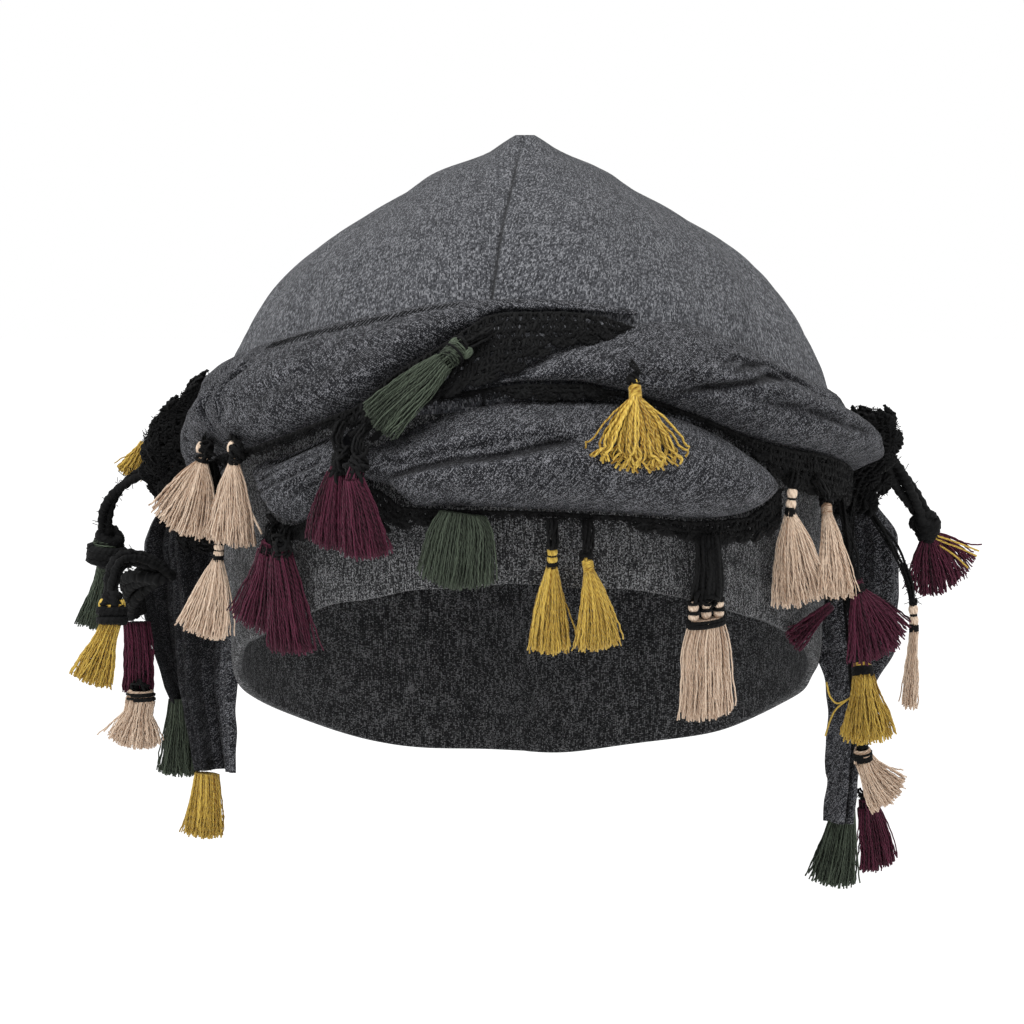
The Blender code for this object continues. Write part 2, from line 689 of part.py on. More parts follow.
def cover_at(azimuth, height, fronts):
    """How far the pieces with these fronts stand out from the cap at a place."""
    found = [front(azimuth, height) for front in fronts]
    return max([reach for reach in found if reach is not None] or [0.0])


def roll_front(name):
    places = [row[0] for row in ROLLS[name]]

    def front(azimuth, height):
        if not min(places) <= azimuth <= max(places):
            return None
        roll = read_rolls[name](azimuth)
        share = (height / CROWN_HEIGHT - roll.low) / (roll.high - roll.low)
        return roll_offset(share, roll.bulge) if 0.0 <= share <= 1.0 else None

    return front


def lace_front(name):
    places = [row[0] for row in LACES[name]]

    def front(azimuth, height):
        if not min(places) <= azimuth <= max(places):
            return None
        lace = read_laces[name](azimuth)
        return lace_offset(lace.stand) if lace.low <= height / CROWN_HEIGHT <= lace.high else None

    return front


def widest_cover(azimuth, height, half_span, half_height):
    """The greatest cover in a small field round a place."""
    spots = steps_between(-1.0, 1.0, 6)
    levels = steps_between(-1.0, 1.0, 4)
    places = [(azimuth + across * half_span, height + up * half_height) for across in spots for up in levels]
    return max(cover_at(*place, covers) for place in places)


def build_side_lace(name):
    heights = [row[0] * CROWN_HEIGHT for row in SIDE_LACES[name]]
    top, bottom = max(heights), min(heights)
    count = 2 * round((top - bottom) / SCALLOP_PITCH)
    step = (top - bottom) / count
    path = []
    for height in steps_between(top, bottom, count):
        lace = read_side_laces[name](height / CROWN_HEIGHT)
        inner = widest_cover(lace.azimuth, height, lace.half_span, step) + SEWN_GAP + TASSEL_GAP
        if path:
            inner = max(inner, path[-1][2] - LACE_RETURN * step)
        path.append((height, lace, inner, inner + SIDE_LACE_THICKNESS * lace.thickness))
    room = min(
        room_inwards(shell_point(lace.azimuth + shift, height, inner), -outward(lace.azimuth, height))
        for height, lace, inner, _ in path
        for shift in steps_between(-lace.half_span, lace.half_span, REST_SAMPLES)
    )
    drawn_in = max(room - TASSEL_GAP, 0.0)
    rings = []
    for index, (height, lace, inner, full) in enumerate(path):
        notch = SCALLOP_RISE * (index % 2)
        outer = full - notch
        back = inner - drawn_in
        span = lace.half_span - notch / metres_per_degree(lace.azimuth, height)
        corners = ((-span, back), (-span, outer), (span, outer), (span, back))
        rings.append([shell_point(lace.azimuth + shift, height, offset) for shift, offset in corners])

    def front(azimuth, height):
        if not bottom <= height <= top:
            return None
        _, lace, _, full = min(path, key=lambda row: abs(row[0] - height))
        return full if abs(azimuth - lace.azimuth) <= lace.half_span else None

    piece = add_object(name, bridged(rings), "lace")
    covers.append(front)
    return piece


def underside(name, azimuth, offset):
    """The height of a roll's lower flank where it stands out by the offset."""
    roll = read_rolls[name](azimuth)
    below, above = 0.0, UNDERSIDE_SHARE
    for _ in range(UNDERSIDE_HALVINGS):
        share = (below + above) / 2.0
        if roll_offset(share, roll.bulge) < offset:
            below = share
        else:
            above = share
    return CROWN_HEIGHT * blend(roll.low, roll.high, below)


tail_bottoms = {}


def tail_phase(share, drop):
    """Where in its waves a scarf end is, at a share of its width and a drop."""
    return math.pi * TAIL_FOLDS * share + math.radians(TAIL_TWIST) * drop


def build_tail(name):
    """A gathered scarf end. Its width runs out from the cap, and its folds run down."""
    tail = TAILS[name]
    side = math.copysign(1.0, tail["azimuth"])
    read = curve_through(TAIL_COLUMNS, tail["sections"])
    longest = tail["sections"][-1][0]
    low = CROWN_HEIGHT * read_rolls[tail["roll"]](tail["azimuth"]).low
    points = 2 * TAIL_FOLDS + 1
    rings = []
    for drop in steps_between(0.0, longest, TAIL_ROWS):
        section = read(drop)
        width = TAIL_WIDTH * section.width
        middle = tail["azimuth"] + side * section.back
        inner = SEAT_GAP + TAIL_WIDTH * section.out
        lines = ([], [])
        for index in range(points):
            share = index / (points - 1)
            phase = tail_phase(share, drop)
            sway = 0.5 * TAIL_FOLD_DEPTH * math.sin(phase)
            slope = 0.5 * TAIL_FOLD_DEPTH * math.cos(phase) * math.pi * TAIL_FOLDS / width
            length = math.hypot(1.0, slope)
            offset = inner + width * share
            height = low - SEWN_GAP - TAIL_DROP * drop * (1.0 - tail["slant"] * share)
            for line, face in zip(lines, (0.5, -0.5)):
                across = (sway + face * TAIL_WALL / length) / metres_per_degree(middle, height)
                away = max(offset - face * TAIL_WALL * slope / length, SEAT_GAP)
                level = underside(tail["roll"], middle + across, away) - TASSEL_GAP if drop == 0.0 else height
                line.append(shell_point(middle + across, level, away))
        rings.append(lines[0] + lines[1][::-1])
    bottom = low - SEWN_GAP - TAIL_DROP * longest
    tail_bottoms[name] = (middle, bottom, TAIL_DROP * longest * tail["slant"], inner, width, longest)
    reach = 0.5 * (TAIL_FOLD_DEPTH + TAIL_WALL) / metres_per_degree(tail["azimuth"], 0.0)

    def front(azimuth, height):
        drop = (low - height) / TAIL_DROP
        section = read(drop)
        if not -0.1 <= drop <= longest or abs(azimuth - tail["azimuth"] - side * section.back) > reach:
            return None
        return SEAT_GAP + TAIL_WIDTH * (section.out + section.width)

    piece = add_object(name, bridged(rings), "scarf")
    covers.append(front)
    return piece


def tassel_start(tassel):
    """The places of a tassel's root and head: azimuth, height and least distance from the cap."""
    if tassel.carrier in TAILS:
        middle, bottom, rise, inner, width, longest = tail_bottoms[tassel.carrier]
        lowest = max(tassel.root - (THREAD_HALF_WIDTH + 0.5 * TAIL_WALL) / width, 0.0)
        level = bottom + rise * lowest - TASSEL_GAP
        sway = 0.5 * TAIL_FOLD_DEPTH * math.sin(tail_phase(lowest, longest))
        azimuth = middle + sway / metres_per_degree(middle, level)
        offset = inner + width * tassel.root
        return (azimuth, level, offset), (azimuth, level - SHORT_THREAD, offset)
    head = (tassel.azimuth, CROWN_HEIGHT * tassel.height, ROLL_BULGE * tassel.stand)
    shortest = head[1] + SHORT_THREAD
    if tassel.carrier in ROLLS:
        return (tassel.root, shortest, 0.0), head
    if tassel.carrier in SIDE_LACES:
        lace = read_side_laces[tassel.carrier](tassel.root)
        return (lace.azimuth, CROWN_HEIGHT * tassel.root, 0.0), head
    lace = read_laces[tassel.carrier](tassel.root)
    level = min(CROWN_HEIGHT * lace.low + SCALLOP_RISE, CROWN_HEIGHT * (lace.low + lace.high) / 2.0)
    return (tassel.root, max(level, shortest), 0.0), head


def tassel_stations(tassel):
    start, head = tassel_start(tassel)
    per_degree = metres_per_degree(head[0], head[1])
    thread_lean = math.degrees(math.atan2((head[0] - start[0]) * per_degree, start[1] - head[1]))
    stations = []
    for share in steps_between(0.0, 1.0, THREAD_SECTIONS)[:-1]:
        place = [blend(first, last, share) for first, last in zip(start, head)]
        size = (THREAD_HALF_WIDTH, THREAD_HALF_THICKNESS)
        stations.append(Station(*place, *size, thread_lean, tassel.turn, 0.0))
    skirt = TASSEL_LENGTH * tassel.length - HEAD_LENGTH
    parts = [
        (HEAD_LENGTH * part.along, HEAD_HALF_WIDTH * part.width, HEAD_HALF_WIDTH * part.width)
        for part in named_rows(TASSEL_HEAD_COLUMNS, TASSEL_HEAD)
    ]
    half_width = TASSEL_HALF_WIDTH * tassel.width
    half_thickness = TASSEL_HALF_THICKNESS * tassel.thick
    parts += [
        (HEAD_LENGTH + skirt * part.along, half_width * part.width, half_thickness * part.thickness)
        for part in named_rows(TASSEL_SKIRT_COLUMNS, TASSEL_SKIRT)
    ]
    lean = math.radians(tassel.lean)
    out = math.radians(tassel.out)
    for along, wide, thick in parts:
        down = along * math.cos(out)
        azimuth = head[0] + down * math.sin(lean) / per_degree
        height = head[1] - down * math.cos(lean)
        offset = head[2] + along * math.sin(out)
        stations.append(Station(azimuth, height, offset, wide, thick, tassel.lean, tassel.turn, along))
    if tassel.carrier in TAILS:
        return stations
    return sewn(hung(rested(stations, covers + tassel_covers)))


def reaches(station):
    """How far a section reaches round the cap and away from it."""
    angle = math.radians(station.turn)
    round_cap = math.hypot(station.half_width * math.cos(angle), station.half_thickness * math.sin(angle))
    away = math.hypot(station.half_width * math.sin(angle), station.half_thickness * math.cos(angle))
    return round_cap, away


def fan_rise(along, across):
    """How much higher a strand of the skirt reaches than its middle one, as both are equally long."""
    return along - math.sqrt(max(along ** 2 - across ** 2, 0.0)) if along > HEAD_LENGTH else 0.0


def needed_offset(one, two, share, fronts):
    """The least offset that clears what lies behind, at a share of the way between two sections."""
    pairs = zip(dataclasses.astuple(one), dataclasses.astuple(two))
    section = Station(*[blend(first, last, share) for first, last in pairs])
    round_cap, away = reaches(section)
    per_degree = metres_per_degree(section.azimuth, section.height)
    angle = math.radians(section.lean)
    cover = 0.0
    for way in steps_between(-1.0, 1.0, 6):
        across = way * (round_cap + TASSEL_GAP)
        rise = fan_rise(section.along, across)
        azimuth = section.azimuth + (across * math.cos(angle) - rise * math.sin(angle)) / per_degree
        height = section.height + across * math.sin(angle) + rise * math.cos(angle)
        cover = max(cover, cover_at(azimuth, height, fronts))
    return cover + away + TASSEL_GAP


def rested(stations, fronts):
    """Stations moved out until the tassel clears what lies behind it."""
    shares = steps_between(0.0, 1.0, REST_SAMPLES)
    for before, after in zip(stations, stations[1:]):
        needs = [needed_offset(before, after, share, fronts) for share in shares]
        for _ in range(REST_ROUNDS):
            gaps = [need - blend(before.offset, after.offset, share) for need, share in zip(needs, shares)]
            short = max(gaps)
            if short <= 0.0:
                break
            share = shares[gaps.index(short)]
            lift = short / ((1.0 - share) ** 2 + share ** 2)
            before.offset += lift * (1.0 - share)
            after.offset += lift * share
    return stations


def hung(stations):
    """Stations moved out until the yarn bends no more steeply than it can, and the skirt is nowhere hollow."""
    pairs = list(zip(stations, stations[1:]))
    for before, after in reversed(pairs):
        before.offset = max(before.offset, after.offset - YARN_RISE * abs(before.height - after.height))
    for before, after in pairs:
        after.offset = max(after.offset, before.offset - YARN_RETURN * abs(before.height - after.height))
    hanging = stations[THREAD_SECTIONS:]
    for index, station in enumerate(hanging):
        for above in hanging[:index]:
            for below in hanging[index + 1:]:
                way = (station.along - above.along) / (below.along - above.along)
                station.offset = max(station.offset, blend(above.offset, below.offset, way))
    return stations


def tassel_ring(station, is_tip):
    """The outline of a tassel's section, in locks below its head."""
    per_degree = metres_per_degree(station.azimuth, station.height)
    tilt = math.radians(station.lean)
    spin = math.radians(station.turn)
    points = 2 * TASSEL_LOCKS
    ring = []
    for index in range(points):
        angle = 2.0 * math.pi * index / points
        valley = LOCK_VALLEY if station.along > HEAD_LENGTH and index % 2 else 1.0
        wide = station.half_width * valley * math.cos(angle)
        thick = station.half_thickness * valley * math.sin(angle)
        across = wide * math.cos(spin) - thick * math.sin(spin)
        away = wide * math.sin(spin) + thick * math.cos(spin)
        rise = fan_rise(station.along, wide)
        if is_tip:
            rise += TASSEL_LENGTH * TIP_RISE * math.sin(TIP_STEP * index + station.azimuth)
        shift = (across * math.cos(tilt) - rise * math.sin(tilt)) / per_degree
        level = station.height + across * math.sin(tilt) + rise * math.cos(tilt)
        ring.append(shell_point(station.azimuth + shift, level, station.offset + away))
    return ring


def sewn(stations):
    """Stations with the threads' upper end drawn in until the threads lie on what is behind them."""
    top, below = stations[0], stations[1]
    inward = -outward(top.azimuth, top.height)
    moves = []
    for share in steps_between(0.0, SEWN_REACH, SEWN_SAMPLES):
        for first, last in zip(tassel_ring(top, False), tassel_ring(below, False)):
            room = room_inwards(blend(first, last, share), inward)
            moves.append((room - TASSEL_GAP) / (1.0 - share))
    top.offset -= max(min(moves), 0.0)
    return stations


def tassel_front(stations):
    azimuths = [station.azimuth for station in stations]
    heights = [station.height for station in stations]
    spans = [reaches(station) for station in stations]
    widest = max(round_cap for round_cap, _ in spans) + TASSEL_GAP
    per_degree = metres_per_degree(azimuths[-1], heights[-1])

    def front(azimuth, height):
        if not min(heights) - widest <= height <= max(heights) + widest:
            return None
        if not min(azimuths) - widest / per_degree <= azimuth <= max(azimuths) + widest / per_degree:
            return None
        reach = None
        for index in range(len(stations) - 1):
            one, two = stations[index], stations[index + 1]
            run = Vector(((two.azimuth - one.azimuth) * per_degree, two.height - one.height))
            place = Vector(((azimuth - one.azimuth) * per_degree, height - one.height))
            way = min(max(place.dot(run) / run.length_squared, 0.0), 1.0)
            if (place - run * way).length <= blend(spans[index][0], spans[index + 1][0], way) + TASSEL_GAP:
                high = max(one.offset + spans[index][1], two.offset + spans[index + 1][1])
                reach = high if reach is None else max(reach, high)
        return reach

    return front


def build_tassel(tassel):
    """Threads, head and a skirt of locks with uneven tips, in one body."""
    stations = tassel_stations(tassel)
    rings = [tassel_ring(station, station is stations[-1]) for station in stations]
    tassel_covers.append(tassel_front(stations))
    return add_object(tassel.name, bridged(rings), tassel.name.rsplit("_", 1)[1])


def main():
    for old in list(bpy.data.objects):
        bpy.data.objects.remove(old)
    build_crown()
    build_band()
    for name in ROLLS:
        build_roll(name)
        covers.append(roll_front(name))
    for name in LACES:
        build_lace(name)
        covers.append(lace_front(name))
    for name in SIDE_LACES:
        build_side_lace(name)
    for name in TAILS:
        build_tail(name)
    for tassel in named_rows(TASSEL_COLUMNS, TASSELS):
        build_tassel(tassel)


main()
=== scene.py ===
import math

import bmesh
import bpy
import numpy as np
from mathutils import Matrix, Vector


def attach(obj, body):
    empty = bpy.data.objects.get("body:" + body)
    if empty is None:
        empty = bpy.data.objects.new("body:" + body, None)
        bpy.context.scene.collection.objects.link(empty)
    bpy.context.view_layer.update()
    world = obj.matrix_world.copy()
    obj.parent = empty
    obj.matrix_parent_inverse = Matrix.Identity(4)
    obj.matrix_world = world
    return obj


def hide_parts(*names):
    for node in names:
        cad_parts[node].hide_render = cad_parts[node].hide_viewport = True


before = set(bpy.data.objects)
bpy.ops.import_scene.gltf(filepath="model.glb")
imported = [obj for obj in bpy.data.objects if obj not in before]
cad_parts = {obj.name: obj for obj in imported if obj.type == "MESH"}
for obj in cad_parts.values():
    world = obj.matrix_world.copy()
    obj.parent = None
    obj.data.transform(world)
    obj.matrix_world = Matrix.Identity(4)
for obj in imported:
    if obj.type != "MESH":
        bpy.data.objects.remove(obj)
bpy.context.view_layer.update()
bpy.ops.object.select_all(action="DESELECT")
mm = 0.001


# The cap's own shape. A place on it is an azimuth from the brow, a height and a distance out.

cap = {
    "height": 0.147,
    "halfWidth": 0.086,
    "halfDepth": 0.102,
    "outline": (  # height as a share, then width and depth as shares
        (-0.35, 0.880, 0.890), (0.000, 0.915, 0.930), (0.240, 0.945, 0.962), (0.450, 0.965, 0.972),
        (0.550, 0.940, 0.945), (0.650, 0.862, 0.870), (0.735, 0.757, 0.775), (0.810, 0.617, 0.645),
        (0.860, 0.490, 0.520), (0.905, 0.345, 0.380), (0.940, 0.240, 0.265), (0.968, 0.135, 0.150),
        (0.988, 0.070, 0.078), (1.000, 0.030, 0.034),
    ),
    "dents": (  # azimuth, height, how far each way, depth in millimetres
        (-78.0, 0.965, 34.0, 0.022, 2.6), (-66.0, 0.895, 24.0, 0.028, -1.8), (84.0, 0.968, 40.0, 0.022, 1.35),
        (-85.0, 0.930, 30.0, 0.022, -1.1), (-80.0, 0.866, 34.0, 0.045, 1.8), (84.0, 0.868, 40.0, 0.062, 2.5),
        (34.0, 0.800, 16.0, 0.060, 1.35), (-34.0, 0.780, 14.0, 0.070, 1.05), (140.0, 0.820, 24.0, 0.070, 1.8),
        (-150.0, 0.760, 26.0, 0.080, 1.5),
    ),
}


def smoothTable(rows):
    # reads the columns of a table anywhere along its first one, with no swing past the rows
    table = np.array(sorted(rows), float)
    places, values = table[:, 0], table[:, 1:]
    steps = np.diff(values, axis=0) / np.diff(places)[:, None]
    product = steps[:-1] * steps[1:]
    total = np.where(product > 0, steps[:-1] + steps[1:], 1.0)
    slopes = np.vstack([steps[:1], np.where(product > 0, 2 * product / total, 0.0), steps[-1:]])

    def read(at):
        at = np.clip(np.asarray(at, float), places[0], places[-1])
        after = np.clip(np.searchsorted(places, at, side="right"), 1, len(places) - 1)
        before = after - 1
        span = (places[after] - places[before])[..., None]
        way = (at - places[before])[..., None] / span
        left = 1 - way
        found = (
            values[before] * (1 + 2 * way) * left ** 2 + slopes[before] * span * way * left ** 2
            + values[after] * way ** 2 * (3 - 2 * way) - slopes[after] * span * way ** 2 * left
        )
        return [found[..., column] for column in range(values.shape[1])]

    return read


readOutline = smoothTable(cap["outline"])


def turned(azimuth, other):
    return (azimuth - other + 180) % 360 - 180


def halfSizes(height):
    width, depth = readOutline(height / cap["height"])
    return cap["halfWidth"] * width, cap["halfDepth"] * depth


def dentAt(azimuth, height):
    total = 0.0
    for where, level, reach, rise, depth in cap["dents"]:
        across = turned(azimuth, where) / reach
        up = (height / cap["height"] - level) / rise
        total = total + depth * mm * np.exp(-across ** 2 - up ** 2)
    return total


def onCap(azimuth, height, out):
    places = [np.asarray(value, float) for value in (azimuth, height, out)]
    azimuth, height, out = np.broadcast_arrays(*places)
    wide, deep = halfSizes(height)
    sine, cosine = np.sin(np.radians(azimuth)), np.cos(np.radians(azimuth))
    outX, outY = deep * sine, -wide * cosine
    reach = (out - dentAt(azimuth, height)) / np.hypot(outX, outY)
    return np.stack([wide * sine + outX * reach, -deep * cosine + outY * reach, height], axis=-1)


def perDegree(azimuth, height):
    wide, deep = halfSizes(height)
    angle = np.radians(azimuth)
    return math.radians(1) * np.hypot(wide * np.cos(angle), deep * np.sin(angle))


def tilted(azimuth, atBrow, atNape):
    return (atBrow + atNape) / 2 + (atBrow - atNape) / 2 * np.cos(np.radians(azimuth))


def waves(across, up, size, seed):
    # smooth uneven swell between about -1 and 1, with lumps of the size given in metres
    chance = np.random.default_rng(seed)
    count, total = 9, 0.0
    for _ in range(count):
        heading = chance.uniform(0, 2 * math.pi)
        pitch = 2 * math.pi / (size * chance.uniform(0.7, 1.9))
        along = across * math.cos(heading) + up * math.sin(heading)
        total = total + np.sin(pitch * along + chance.uniform(0, 6.3))
    return total / math.sqrt(count)


def swells(across, up, rows, shift=0):
    # each row is a swell's rise, the size of its lumps and its seed
    return sum(rise * waves(across, up, size, seed + shift) for rise, size, seed in rows)


creaseLook = {
    "ends": 5.0, "endPower": 0.7,  # how a crease fades towards its ends
    "shoulder": 0.25, "shoulderAt": 2.2,  # the rise beside it, as shares of its depth and width
    "liftReach": 0.005,
}


def creased(azimuth, height, lines):
    # how far creases sink or lift the cloth, by lines of depth, width and lift in millimetres, then points
    total = np.zeros(np.broadcast(azimuth, height).shape)
    for depth, width, lift, points in lines:
        best = np.full(total.shape, 1e9)
        side, taper = np.zeros(total.shape), np.ones(total.shape)
        middle = points[len(points) // 2]
        scale = float(perDegree(middle[0], middle[1] * cap["height"]))
        spots = [(place * scale, level * cap["height"]) for place, level in points]
        lengths = [math.dist(one, two) for one, two in zip(spots, spots[1:])]
        passed = 0.0
        for one, two, length in zip(spots, spots[1:], lengths):
            runX, runY = (two[0] - one[0]) / length, (two[1] - one[1]) / length
            placeX, placeY = azimuth * scale - one[0], height - one[1]
            way = np.clip(placeX * runX + placeY * runY, 0, length)
            awayX, awayY = placeX - way * runX, placeY - way * runY
            distance = np.hypot(awayX, awayY)
            nearer = distance < best
            best = np.where(nearer, distance, best)
            side = np.where(nearer, awayX * -runY + awayY * runX, side)
            share = (passed + way) / sum(lengths)
            fade = np.clip(np.minimum(share, 1 - share) * creaseLook["ends"], 0, 1)
            taper = np.where(nearer, fade ** creaseLook["endPower"], taper)
            passed += length
        reach = best / (width * mm)
        shoulder = creaseLook["shoulder"] * np.exp(-(reach - creaseLook["shoulderAt"]) ** 2)
        groove = depth * (shoulder - np.exp(-reach ** 2))
        raised = lift * np.where(side > 0, np.exp(-best / creaseLook["liftReach"]), 0)
        total += (groove + raised * (1 - np.exp(-reach ** 2))) * taper * mm
    return total


# Making meshes

def unit(vectors):
    return vectors / np.maximum(np.linalg.norm(vectors, axis=-1, keepdims=True), 1e-9)


def meshObject(name, points, faces, uvs, tones):
    data = bpy.data.meshes.new(name)
    data.from_pydata(points.tolist(), [], faces)
    data.uv_layers.new(name="cloth").data.foreach_set("uv", np.asarray(uvs, np.float32).ravel())
    attribute = data.attributes.new("tone", "FLOAT", "POINT")
    attribute.data.foreach_set("value", np.asarray(tones, np.float32))
    data.validate()
    mesh = bmesh.new()
    mesh.from_mesh(data)
    if mesh.calc_volume(signed=True) < 0:
        bmesh.ops.reverse_faces(mesh, faces=mesh.faces)
    mesh.to_mesh(data)
    mesh.free()
    data.shade_smooth()
    piece = bpy.data.objects.new(name, data)
    bpy.context.scene.collection.objects.link(piece)
    return piece


def gridFaces(rows, columns, around=False):
    # the faces between closed rings of points, and each corner's row and column, counted on past the last
    row, column = np.meshgrid(np.arange(rows if around else rows - 1), np.arange(columns), indexing="ij")
    row, column = row.ravel(), column.ravel()
    corners = [(row, column), (row + 1, column), (row + 1, column + 1), (row, column + 1)]
    return np.stack([r % rows * columns + c % columns for r, c in corners], -1), corners


def cloth(name, rings, hollow, along=None):
    # a body through rings of points, with shade painted point by point into its colour. It is capped at its
    # ends, or closes on itself where along gives the weave's places, which have a row and a column more than
    # the points
    rows, columns = rings.shape[:2]
    faces, corners = gridFaces(rows, columns, along is not None)
    faces, capCorners = faces.tolist(), 0
    loop = np.concatenate([rings, rings[:, :1]], axis=1)
    lengths = np.linalg.norm(np.diff(loop, axis=1), axis=2)
    up = np.concatenate([np.zeros((rows, 1)), np.cumsum(lengths, axis=1)], axis=1)
    up = np.concatenate([up, up[:1]])
    if along is None:
        steps = np.linalg.norm(np.diff(rings, axis=0), axis=2).max(axis=1)
        along = np.concatenate([[0], np.cumsum(steps)])[:, None] * np.ones((1, columns + 1))
        faces += [list(range(columns)), list(range((rows - 1) * columns, rows * columns))[::-1]]
        capCorners = 2 * columns
    uvs = np.stack([np.stack([along[r, c], up[r, c]], -1) for r, c in corners], 1).reshape(-1, 2)
    uvs = np.concatenate([uvs, np.zeros((capCorners, 2))])
    return meshObject(name, rings.reshape(-1, 3), faces, uvs, hollow.ravel())


def tubes(paths, radii, tones, sides=5):
    # yarns of as many points each, as points, faces, places for the twist, and tones
    count, length = paths.shape[:2]
    radii = np.broadcast_to(radii, (count, length))
    run = unit(np.gradient(paths, axis=1))
    helper = np.where(np.abs(run[:, :1, 2:]) < 0.8, [[[0.0, 0.0, 1.0]]], [[[1.0, 0.0, 0.0]]])
    normal = np.cross(run[:, 0], helper[:, 0])
    normals = []
    for heading in np.moveaxis(run, 1, 0):
        normal = unit(normal - heading * np.sum(normal * heading, axis=1, keepdims=True))
        normals.append(normal)
    normals = np.stack(normals, 1)
    others = np.cross(run, normals)
    angles = (2 * math.pi * np.arange(sides) / sides)[:, None]
    ring = normals[:, :, None] * np.cos(angles) + others[:, :, None] * np.sin(angles)
    points = paths[:, :, None] + ring * radii[:, :, None, None]
    steps = np.linalg.norm(np.diff(paths, axis=1), axis=2)
    distance = np.concatenate([np.zeros((count, 1)), np.cumsum(steps, axis=1)], axis=1)
    base, corners = gridFaces(length, sides)
    faces, uvs = [], []
    for index in range(count):
        start = index * length * sides
        last = start + (length - 1) * sides
        faces += (base + start).tolist()
        faces += [list(range(start, start + sides)), list(range(last, last + sides))[::-1]]
        places = [np.stack([c / sides, distance[index][r]], -1) for r, c in corners]
        uvs += [np.stack(places, 1).reshape(-1, 2), np.zeros((2 * sides, 2))]
    tones = np.repeat(np.asarray(tones, float), length * sides)
    return points.reshape(-1, 3), faces, np.concatenate(uvs), tones


def yarnObject(name, groups):
    # one object from groups of yarns, each made by tubes
    points, faces, uvs, tones = zip(*groups)
    starts = np.cumsum([0, *map(len, points)]).tolist()
    faces = [[index + start for index in face] for start, some in zip(starts, faces) for face in some]
    return meshObject(name, np.concatenate(points), faces, np.concatenate(uvs), np.concatenate(tones))


def dressed(piece, material, slotName, *nodeNames):
    piece.data.materials.append(material)
    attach(piece, "root")
    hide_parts(*nodeNames)
    return piece


# Materials. Two groups hold what several of them share: the heather cloth and the twisted yarn.

def feed(tree, socket, value):
    # a socket takes another node's output or a plain value
    if isinstance(value, bpy.types.NodeSocket):
        tree.links.new(value, socket)
    else:
        socket.default_value = value


def added(tree, kind, inputs=None, **settings):
    node = tree.nodes.new("ShaderNode" + kind)
    for name, value in settings.items():
        setattr(node, name, value)
    for label, value in (inputs or {}).items():
        feed(tree, node.inputs[label], value)
    return node


def socketGroup(name, inputs, outputs):
    # a node group with named sockets, and the inner ends of both kinds
    group = bpy.data.node_groups.new(name, "ShaderNodeTree")
    for way, sockets in (("INPUT", inputs), ("OUTPUT", outputs)):
        for label, kind in sockets.items():
            group.interface.new_socket(label, in_out=way, socket_type="NodeSocket" + kind)
    return group, group.nodes.new("NodeGroupInput").outputs, group.nodes.new("NodeGroupOutput").inputs


def maths(tree, operation, *values):
    return added(tree, "Math", dict(enumerate(values)), operation=operation).outputs[0]


def plainSums(tree):
    # short names for adding, taking away, multiplying and dividing in a tree
    def sumOf(operation):
        return lambda one, two: maths(tree, operation, one, two)

    return [sumOf(operation) for operation in ("ADD", "SUBTRACT", "MULTIPLY", "DIVIDE")]


def placed(tree, *values):
    return added(tree, "CombineXYZ", dict(enumerate(values))).outputs[0]


def noiseAt(tree, place, scale, detail, roughness=0.5, output="Fac"):
    inputs = {"Vector": place, "Scale": scale, "Detail": detail, "Roughness": roughness}
    return added(tree, "TexNoise", inputs, noise_dimensions="3D").outputs[output]


def ranged(tree, value, low, high, newLow=0.0, newHigh=1.0):
    inputs = {"Value": value, "From Min": low, "From Max": high, "To Min": newLow, "To Max": newHigh}
    return added(tree, "MapRange", inputs, interpolation_type="SMOOTHSTEP").outputs["Result"]


def mixed(tree, factor, one, two):
    node = added(tree, "Mix", data_type="RGBA")
    for label, value in (("Factor", factor), ("A", one), ("B", two)):
        feed(tree, next(item for item in node.inputs if item.name == label and item.enabled), value)
    return next(item for item in node.outputs if item.enabled)


weaveLook = {
    "driftScale": 260.0, "drift": 1.2,  # threads do not lie quite straight
    "fleckStep": 9.7, "fleckLift": 31.0, "fleckPitch": (0.80, 0.80, 0.42),  # warp, weft, a knit's rib
    "longStep": 5.3, "longPitch": 0.07, "longLift": 7.0, "longFlecks": 0.40,
    "fineScale": 2600.0, "fine": 0.35, "ridge": 0.16, "cloudScale": 170.0, "cloudRough": 0.6, "cloud": 0.20,
    "darkTones": (0.32, 0.50), "lightTones": (0.52, 0.70),
    # painted shade: how strongly it darkens the cloth, and the colour it darkens towards
    "hollow": 0.8, "paintedShadeColour": (0.004, 0.004, 0.005, 1.0),
}


